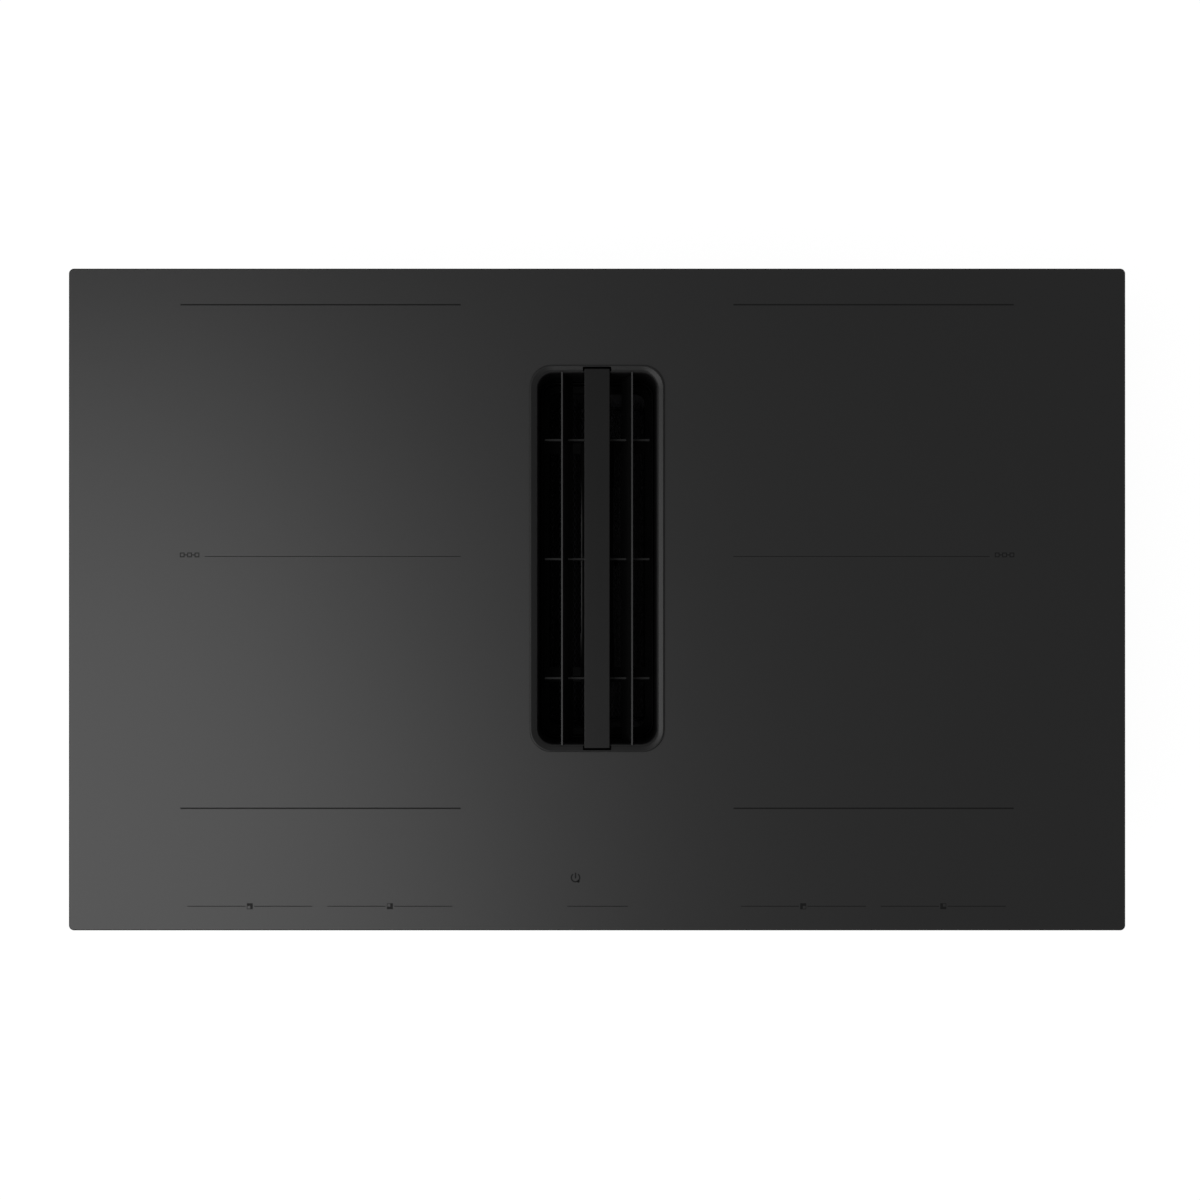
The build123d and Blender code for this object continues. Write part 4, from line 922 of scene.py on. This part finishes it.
# --------------------------------------------------------------------------- sub-assemblies
@dataclass
class GlassTop:
    """Glass panel with the marks that are printed on it."""

    film: float = 0.03 * MM
    zone_left: float = 107.1 * MM
    zone_right: float = 327.2 * MM
    zone_back: float = 231.5 * MM
    zone_front: float = -164.0 * MM
    zone_middle: float = 33.8 * MM
    zone_line: float = 1.2 * MM
    middle_line: float = 0.55 * MM
    link_gap: float = 19.0 * MM
    link_x: float = 320.0 * MM
    link_rise: float = 1.2 * MM
    link_square: float = 3.0 * MM
    link_reach: float = 5.8 * MM
    link_stroke: float = 0.75 * MM
    slider_x: tuple[float, ...] = (-272.7 * MM, -162.7 * MM, 161.9 * MM, 271.9 * MM)
    slider_y: float = -240.9 * MM
    slider_line: float = 0.6 * MM
    slider_half: float = 49.1 * MM
    fan_slider_x: float = 0.4 * MM
    fan_slider_half: float = 23.8 * MM
    icon: float = 4.7 * MM
    icon_light: float = 2.2 * MM
    icon_rim: float = 0.45 * MM
    icon_gap: float = 1.0 * MM
    power_x: float = -16.9 * MM
    power_y: float = -218.4 * MM
    power_r: float = 3.3 * MM
    power_stroke: float = 1.15 * MM
    power_bar: float = 4.6 * MM
    power_gap: Point = (55.0, 125.0)
    dot: float = 2.2 * MM
    dot_hole: float = 0.01 * MM
    dot_arc: Point = (0.0, 350.0)
    dot_place: Point = (2.31 * MM, -2.97 * MM)

    def build(self) -> None:
        """Dresses the glass and its seal and prints the marks."""
        dress(GLASS, "glass_panel")
        dress(FOAM, "perimeter_seal")
        self.print_zones()
        self.print_links()
        self.print_sliders()
        self.print_power()

    def add_print(self, name: str, outlines: Iterable[Sequence[Point]]) -> None:
        """Adds a printed film with one patch for each outline.

        Args:
            name: the piece's name.
            outlines: corners of each patch, in order.
        """
        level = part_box("glass_panel")[1].z
        mesh = bmesh.new()
        for outline in outlines:
            prism(mesh, outline, level - self.film / 2, level + self.film)
        add_piece(name, mesh, PRINT, Body.ROOT)

    def print_zones(self) -> None:
        """Lines that bound the cooking zones, and the thinner ones between them."""
        length = self.zone_right - self.zone_left
        middle = (self.zone_left + self.zone_right) / 2
        for side in Side:
            x = side.value * middle
            inner = x - side.value * self.link_gap / 2
            lines = [
                rectangle(x, self.zone_back, length, self.zone_line),
                rectangle(x, self.zone_front, length, self.zone_line),
                rectangle(inner, self.zone_middle, length - self.link_gap, self.middle_line),
            ]
            self.add_print(f"zone_lines_{side.name.lower()}", lines)

    def print_links(self) -> None:
        """Pictograms of three linked squares at the outer ends of the middle lines."""
        half, stroke = self.link_square / 2, self.link_stroke
        y = self.zone_middle + self.link_rise
        outer = self.link_square + stroke
        gap = self.link_reach - outer
        for side in Side:
            x = side.value * self.link_x
            marks = [
                rectangle(x + place * self.link_reach / 2, y, gap, stroke) for place in (-1, 1)
            ]
            for place in (-1, 0, 1):
                middle = x + place * self.link_reach
                for edge in (-half, half):
                    marks.append(rectangle(middle, y + edge, outer, stroke))
                    marks.append(rectangle(middle + edge, y, stroke, outer - 2 * stroke))
            self.add_print(f"link_mark_{side.name.lower()}", marks)

    def icon_marks(self, x: float, light: Quadrant) -> list[list[Point]]:
        """Patches of a zone pictogram: a dark square with one light quarter.

        Args:
            x: X of its centre.
            light: the light quarter.

        Returns:
            The outlines of the patches.
        """
        across, along = light.value
        dark = self.icon - self.icon_light - self.icon_rim
        column_x = x - across * (self.icon - dark) / 2
        row_y = self.slider_y - along * (self.icon - dark) / 2
        row_x = x + across * dark / 2
        rim_x = x + across * (self.icon - self.icon_rim) / 2
        rim_y = self.slider_y + along * (self.icon - self.icon_rim) / 2
        rim_row_x = row_x - across * self.icon_rim / 2
        rim_column_y = self.slider_y + along * dark / 2
        return [
            rectangle(column_x, self.slider_y, dark, self.icon),
            rectangle(row_x, row_y, self.icon - dark, dark),
            rectangle(rim_x, rim_column_y, self.icon_rim, self.icon - dark),
            rectangle(rim_row_x, rim_y, self.icon - dark - self.icon_rim, self.icon_rim),
        ]

    def print_sliders(self) -> None:
        """Power sliders of the four zones with their pictograms, and the fan's slider."""
        clear = self.icon / 2 + self.icon_gap
        run = self.slider_half - clear
        lines = []
        icons = []
        for x, light in zip(self.slider_x, Quadrant):
            for side in Side:
                middle = x + side.value * (self.slider_half + clear) / 2
                lines.append(rectangle(middle, self.slider_y, run, self.slider_line))
            icons += self.icon_marks(x, light)
        width = 2 * self.fan_slider_half
        lines.append(rectangle(self.fan_slider_x, self.slider_y, width, self.slider_line))
        self.add_print("slider_lines", lines)
        self.add_print("zone_pictograms", icons)

    def print_power(self) -> None:
        """Power symbol: an open ring, its bar and a small dot."""
        x, y, stroke = self.power_x, self.power_y, self.power_stroke
        start, end = self.power_gap[1], self.power_gap[0] + FULL_TURN
        ring = band(x, y, self.power_r, stroke, start, end)
        bar = rectangle(x, y + self.power_r / 2, stroke, self.power_bar)
        right, up = self.dot_place
        spot = self.dot / 2
        dot = band(x + right, y + up, spot / 2, spot - self.dot_hole, *self.dot_arc)
        self.add_print("power_mark", [ring, bar, dot])


@dataclass
class Intake:
    """Rim and throat of the intake with its gaskets."""

    def build(self) -> None:
        """Dresses the rim, the throat and their seals."""
        dress(RIM, "intake_frame")
        dress(SILICONE, "intake_gasket")
        dress(FOAM, "throat_seal")
        smooth_node("intake_frame")


@dataclass
class Grille:
    """Lift-out grille: bar, lattice and their small parts."""

    bar_edge: float = 0.25 * MM
    lattice_edge: float = 0.25 * MM

    def build(self) -> None:
        """Breaks the edges of the bar and the lattice and dresses the rest."""
        softened("bar_shell", "grille_bar", BAR, Body.GRILLE, self.bar_edge)
        softened("lattice_shell", "grille_lattice", LATTICE, Body.GRILLE, self.lattice_edge)
        dress(SCREW, "grille_nuts")
        dress(SILICONE, "grille_bumpers")


@dataclass
class GreaseFilter:
    """Grease filter: cassette frame, pleated expanded mesh and handle."""

    edge: float = 0.2 * MM
    folds: int = 14
    steps: int = 4
    diamond: float = 3.2 * MM
    wire: float = 0.55 * MM
    sheet: float = 1.0 * MM

    def build(self) -> None:
        """Dresses the cassette, weaves the mesh and breaks the edges of the handle."""
        dress(FRAME_COAT, "filter_frame")
        self.add_mesh()
        softened("filter_handle_shell", "filter_handle", HANDLE_COAT, Body.FILTER, self.edge)

    def add_mesh(self) -> None:
        """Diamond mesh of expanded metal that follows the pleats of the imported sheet."""
        low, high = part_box("filter_mesh")
        middle_z, half_z = (low.z + high.z) / 2, (high.z - low.z) / 2 - self.sheet
        fold_w = (high.x - low.x - self.sheet) / self.folds
        rows = self.folds * self.steps
        columns = round((high.y - low.y) / self.diamond)
        mesh = bmesh.new()
        knots = {}
        for row in range(rows + 1):
            fold, share = divmod(row / self.steps, 1.0)
            slope = 1 - 2 * share if fold % 2 == 0 else 2 * share - 1
            x = (low.x + high.x) / 2 + fold_w * (row / self.steps - self.folds / 2)
            for column in range(row % 2, columns + 1, 2):
                y = low.y + (high.y - low.y) * column / columns
                knots[row, column] = mesh.verts.new((x, y, middle_z + slope * half_z))
        for row in range(1, rows):
            for column in range(1 + row % 2, columns, 2):
                ring = ((row - 1, column), (row, column - 1), (row + 1, column), (row, column + 1))
                if all(place in knots for place in ring):
                    mesh.faces.new([knots[place] for place in ring])
        bmesh.ops.wireframe(
            mesh, faces=mesh.faces, thickness=self.wire, use_replace=True, use_boundary=True,
            use_even_offset=True,
        )
        piece = add_piece("expanded_mesh", mesh, MESH_COAT, Body.FILTER)
        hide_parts("filter_mesh")


@dataclass
class DripTray:
    """Overflow tray that lifts out after the filter."""

    edge: float = 0.5 * MM

    def build(self) -> None:
        """Breaks the edges of the tray."""
        softened("tray_shell", "drip_tray", TRAY, Body.TRAY, self.edge)


@dataclass
class HobCase:
    """Sheet-steel pan with its clamping brackets."""

    edge: float = 0.35 * MM

    def build(self) -> None:
        """Dresses the pan, the brackets and their screws."""
        dress(ZINC, "hob_pan")
        softened("bracket_shell", "clamp_brackets", ZINC, Body.ROOT, self.edge)
        softened("bracket_screw_shell", "bracket_screws", SCREW, Body.ROOT, self.edge)


@dataclass
class Heating:
    """Coils with their trays, ferrites, sensors and mats."""

    coils: int = 4

    def build(self) -> None:
        """Dresses every layer under the glass."""
        dress(ALUMINIUM, "coil_tray_left", "coil_tray_right")
        for number in range(1, self.coils + 1):
            dress(NYLON, f"coil_former_{number}")
            dress(WINDING, f"coil_winding_{number}")
        dress(FERRITE, "coil_ferrites")
        dress(SENSOR, "coil_sensors")
        dress(MAT, "insulation_mats")


@dataclass
class Electronics:
    """Power boards, heat sinks and cooling fans."""

    def build(self) -> None:
        """Dresses both halves of the electronics."""
        dress(NYLON, "board_standoffs")
        for side in Side:
            name = side.name.lower()
            dress(BOARD, f"power_board_{name}")
            dress(ALUMINIUM, f"heatsink_{name}")
            dress(FAN_PLASTIC, f"cooling_fan_frame_{name}", f"cooling_fan_rotor_{name}")


@dataclass
class TouchControls:
    """Touch module under the front edge of the glass."""

    def build(self) -> None:
        """Dresses the housing, its board and the contact springs."""
        dress(NYLON, "touch_housing")
        dress(BOARD, "touch_board")
        dress(SPRING_WIRE, "touch_springs")


@dataclass
class MainsInlet:
    """Terminal box with its cover, block and cable gland."""

    edge: float = 0.4 * MM

    def build(self) -> None:
        """Breaks the edges of the box and its cover and dresses the rest."""
        softened("terminal_box_shell", "terminal_box", HOUSING, Body.ROOT, self.edge)
        softened("terminal_cover_shell", "terminal_cover", HOUSING, Body.ROOT, self.edge)
        dress(NYLON, "terminal_block")
        dress(HOUSING, "mains_gland")
        smooth_node("mains_gland")


@dataclass
class DuctHousing:
    """Two-part housing of the extractor with its outlet."""

    edge: float = 0.5 * MM
    screw_edge: float = 0.3 * MM

    def build(self) -> None:
        """Breaks the edges of the mouldings and of their screws."""
        softened("housing_upper_shell", "duct_housing_upper", HOUSING, Body.ROOT, self.edge)
        softened("housing_lower_shell", "duct_housing_lower", HOUSING, Body.ROOT, self.edge)
        softened("spigot_shell", "outlet_spigot", HOUSING, Body.ROOT, self.edge)
        softened("housing_screw_shell", "housing_screws", SCREW, Body.ROOT, self.screw_edge)


@dataclass
class Extractor:
    """Scroll, impeller and motor."""

    def build(self) -> None:
        """Dresses the fan and its motor."""
        dress(SCROLL, "fan_scroll")
        dress(IMPELLER, "impeller")
        dress(ZINC, "rotor_cup", "motor_plate")
        dress(STEEL, "motor_shaft", "motor_bearings")
        dress(COPPER, "motor_stator")
        dress(SILICONE, "motor_bushes")
        dress(SCREW, "motor_screws")


# --------------------------------------------------------------------------- studio
@dataclass
class Studio:
    """White studio: floor, one large soft lamp, an even sky and the camera."""

    floor_radius: float = 14.0
    floor_corners: int = 96
    floor_gap: float = 0.2 * MM
    floor_colour: Colour = (0.9, 0.9, 0.9)
    glow: float = 0.88
    glow_strength: float = 1.08
    sky: float = 0.32
    horizon: float = 0.8
    horizon_band: Point = (0.15, 0.55)
    sky_colour: Colour = (1.0, 1.0, 1.0)
    lamp_azimuth: float = 202.6
    lamp_tilt: float = 28.15
    lamp_distance: float = 5.0
    lamp_side: float = 3.32
    lamp_power: float = 122.8
    lens: float = 50.0
    sensor: float = 36.0
    view_width: float = 942.4 * MM
    view_x: float = 2.3 * MM
    view_y: float = -0.4 * MM

    def build(self) -> None:
        """Makes the floor, the sky, the lamp and the camera."""
        bpy.context.scene.view_settings.view_transform = "Standard"
        self.add_floor()
        self.add_sky()
        self.add_lamp()
        self.add_camera()

    def seen(self, shader: Shader) -> Value:
        """Share of rays that see the white background: from the camera, mirrors and glass.

        Args:
            shader: the material's tree.

        Returns:
            The share as a value.
        """
        path = shader.node("ShaderNodeLightPath")
        rays = [
            Value(shader, path.outputs[f"Is {kind} Ray"])
            for kind in ("Camera", "Glossy", "Transmission")
        ]
        return (rays[0] + rays[1] + rays[2]).above(0.0, 1.0)

    def add_floor(self) -> None:
        """White floor that keeps a faint shadow of the object."""
        made = bpy.data.materials.new("studio_floor")
        shader = Shader(made)
        matt = shader.value("ShaderNodeBsdfDiffuse", None, {"Color": self.floor_colour})
        glow = shader.value("ShaderNodeEmission", None, {"Strength": self.glow_strength})
        parts = {0: self.seen(shader) * self.glow, 1: matt, 2: glow}
        shader.surface(shader.value("ShaderNodeMixShader", None, parts))
        mesh = bmesh.new()
        bmesh.ops.create_circle(
            mesh, cap_ends=True, radius=self.floor_radius, segments=self.floor_corners
        )
        data = bpy.data.meshes.new("studio_floor")
        mesh.to_mesh(data)
        mesh.free()
        data.materials.append(made)
        floor = bpy.data.objects.new("studio_floor", data)
        bpy.context.scene.collection.objects.link(floor)
        floor.location.z = CAD_BOX[0].z - self.floor_gap

    def add_sky(self) -> None:
        """Even sky that is white near the horizon, where the camera and mirrors see it."""
        world = bpy.data.worlds.new("studio_sky")
        bpy.context.scene.world = world
        shader = Shader(world, "ShaderNodeOutputWorld")
        heading = shader.value("ShaderNodeTexCoord", output="Generated")
        low = 1.0 - shader.along("Z", heading).above(*self.horizon_band)
        path = shader.node("ShaderNodeLightPath")
        camera = Value(shader, path.outputs["Is Camera Ray"])
        mirror = Value(shader, path.outputs["Is Glossy Ray"])
        clear = Value(shader, path.outputs["Is Transmission Ray"])
        bounced = (mirror + clear) * low
        strength = self.sky + camera * (1.0 - self.sky) + bounced * (self.horizon - self.sky)
        inputs = {"Color": self.sky_colour, "Strength": strength}
        shader.surface(shader.value("ShaderNodeBackground", None, inputs))

    def add_lamp(self) -> None:
        """Large soft lamp to the left of the front edge."""
        data = bpy.data.lights.new("key_lamp", "AREA")
        data.shape = "SQUARE"
        data.size = self.lamp_side
        data.energy = self.lamp_power
        lamp = bpy.data.objects.new("key_lamp", data)
        bpy.context.scene.collection.objects.link(lamp)
        around, tilt = math.radians(self.lamp_azimuth), math.radians(self.lamp_tilt)
        heading = Vector(
            (math.cos(around) * math.sin(tilt), math.sin(around) * math.sin(tilt), math.cos(tilt))
        )
        lamp.location = heading * self.lamp_distance
        lamp.rotation_euler = heading.to_track_quat("Z", "Y").to_euler()
        lamp.visible_camera = False

    def add_camera(self) -> None:
        """Camera straight above the glass, as wide as the picture."""
        data = bpy.data.cameras.new("camera")
        data.lens = self.lens
        data.sensor_width = self.sensor
        camera = bpy.data.objects.new("camera", data)
        bpy.context.scene.collection.objects.link(camera)
        distance = self.view_width * self.lens / self.sensor
        camera.location = (self.view_x, self.view_y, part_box("glass_panel")[1].z + distance)
        bpy.context.scene.camera = camera


def main() -> None:
    """Builds every sub-assembly and the studio in order."""
    logging.basicConfig(level=logging.INFO, format="%(name)s: %(message)s")
    assemblies = (
        GlassTop, Intake, Grille, GreaseFilter, DripTray, HobCase, Heating, Electronics,
        TouchControls, MainsInlet, DuctHousing, Extractor, Studio,
    )
    for assembly in assemblies:
        log.info("building %s", assembly.__name__)
        assembly().build()


if __name__ == "__main__":
    main()
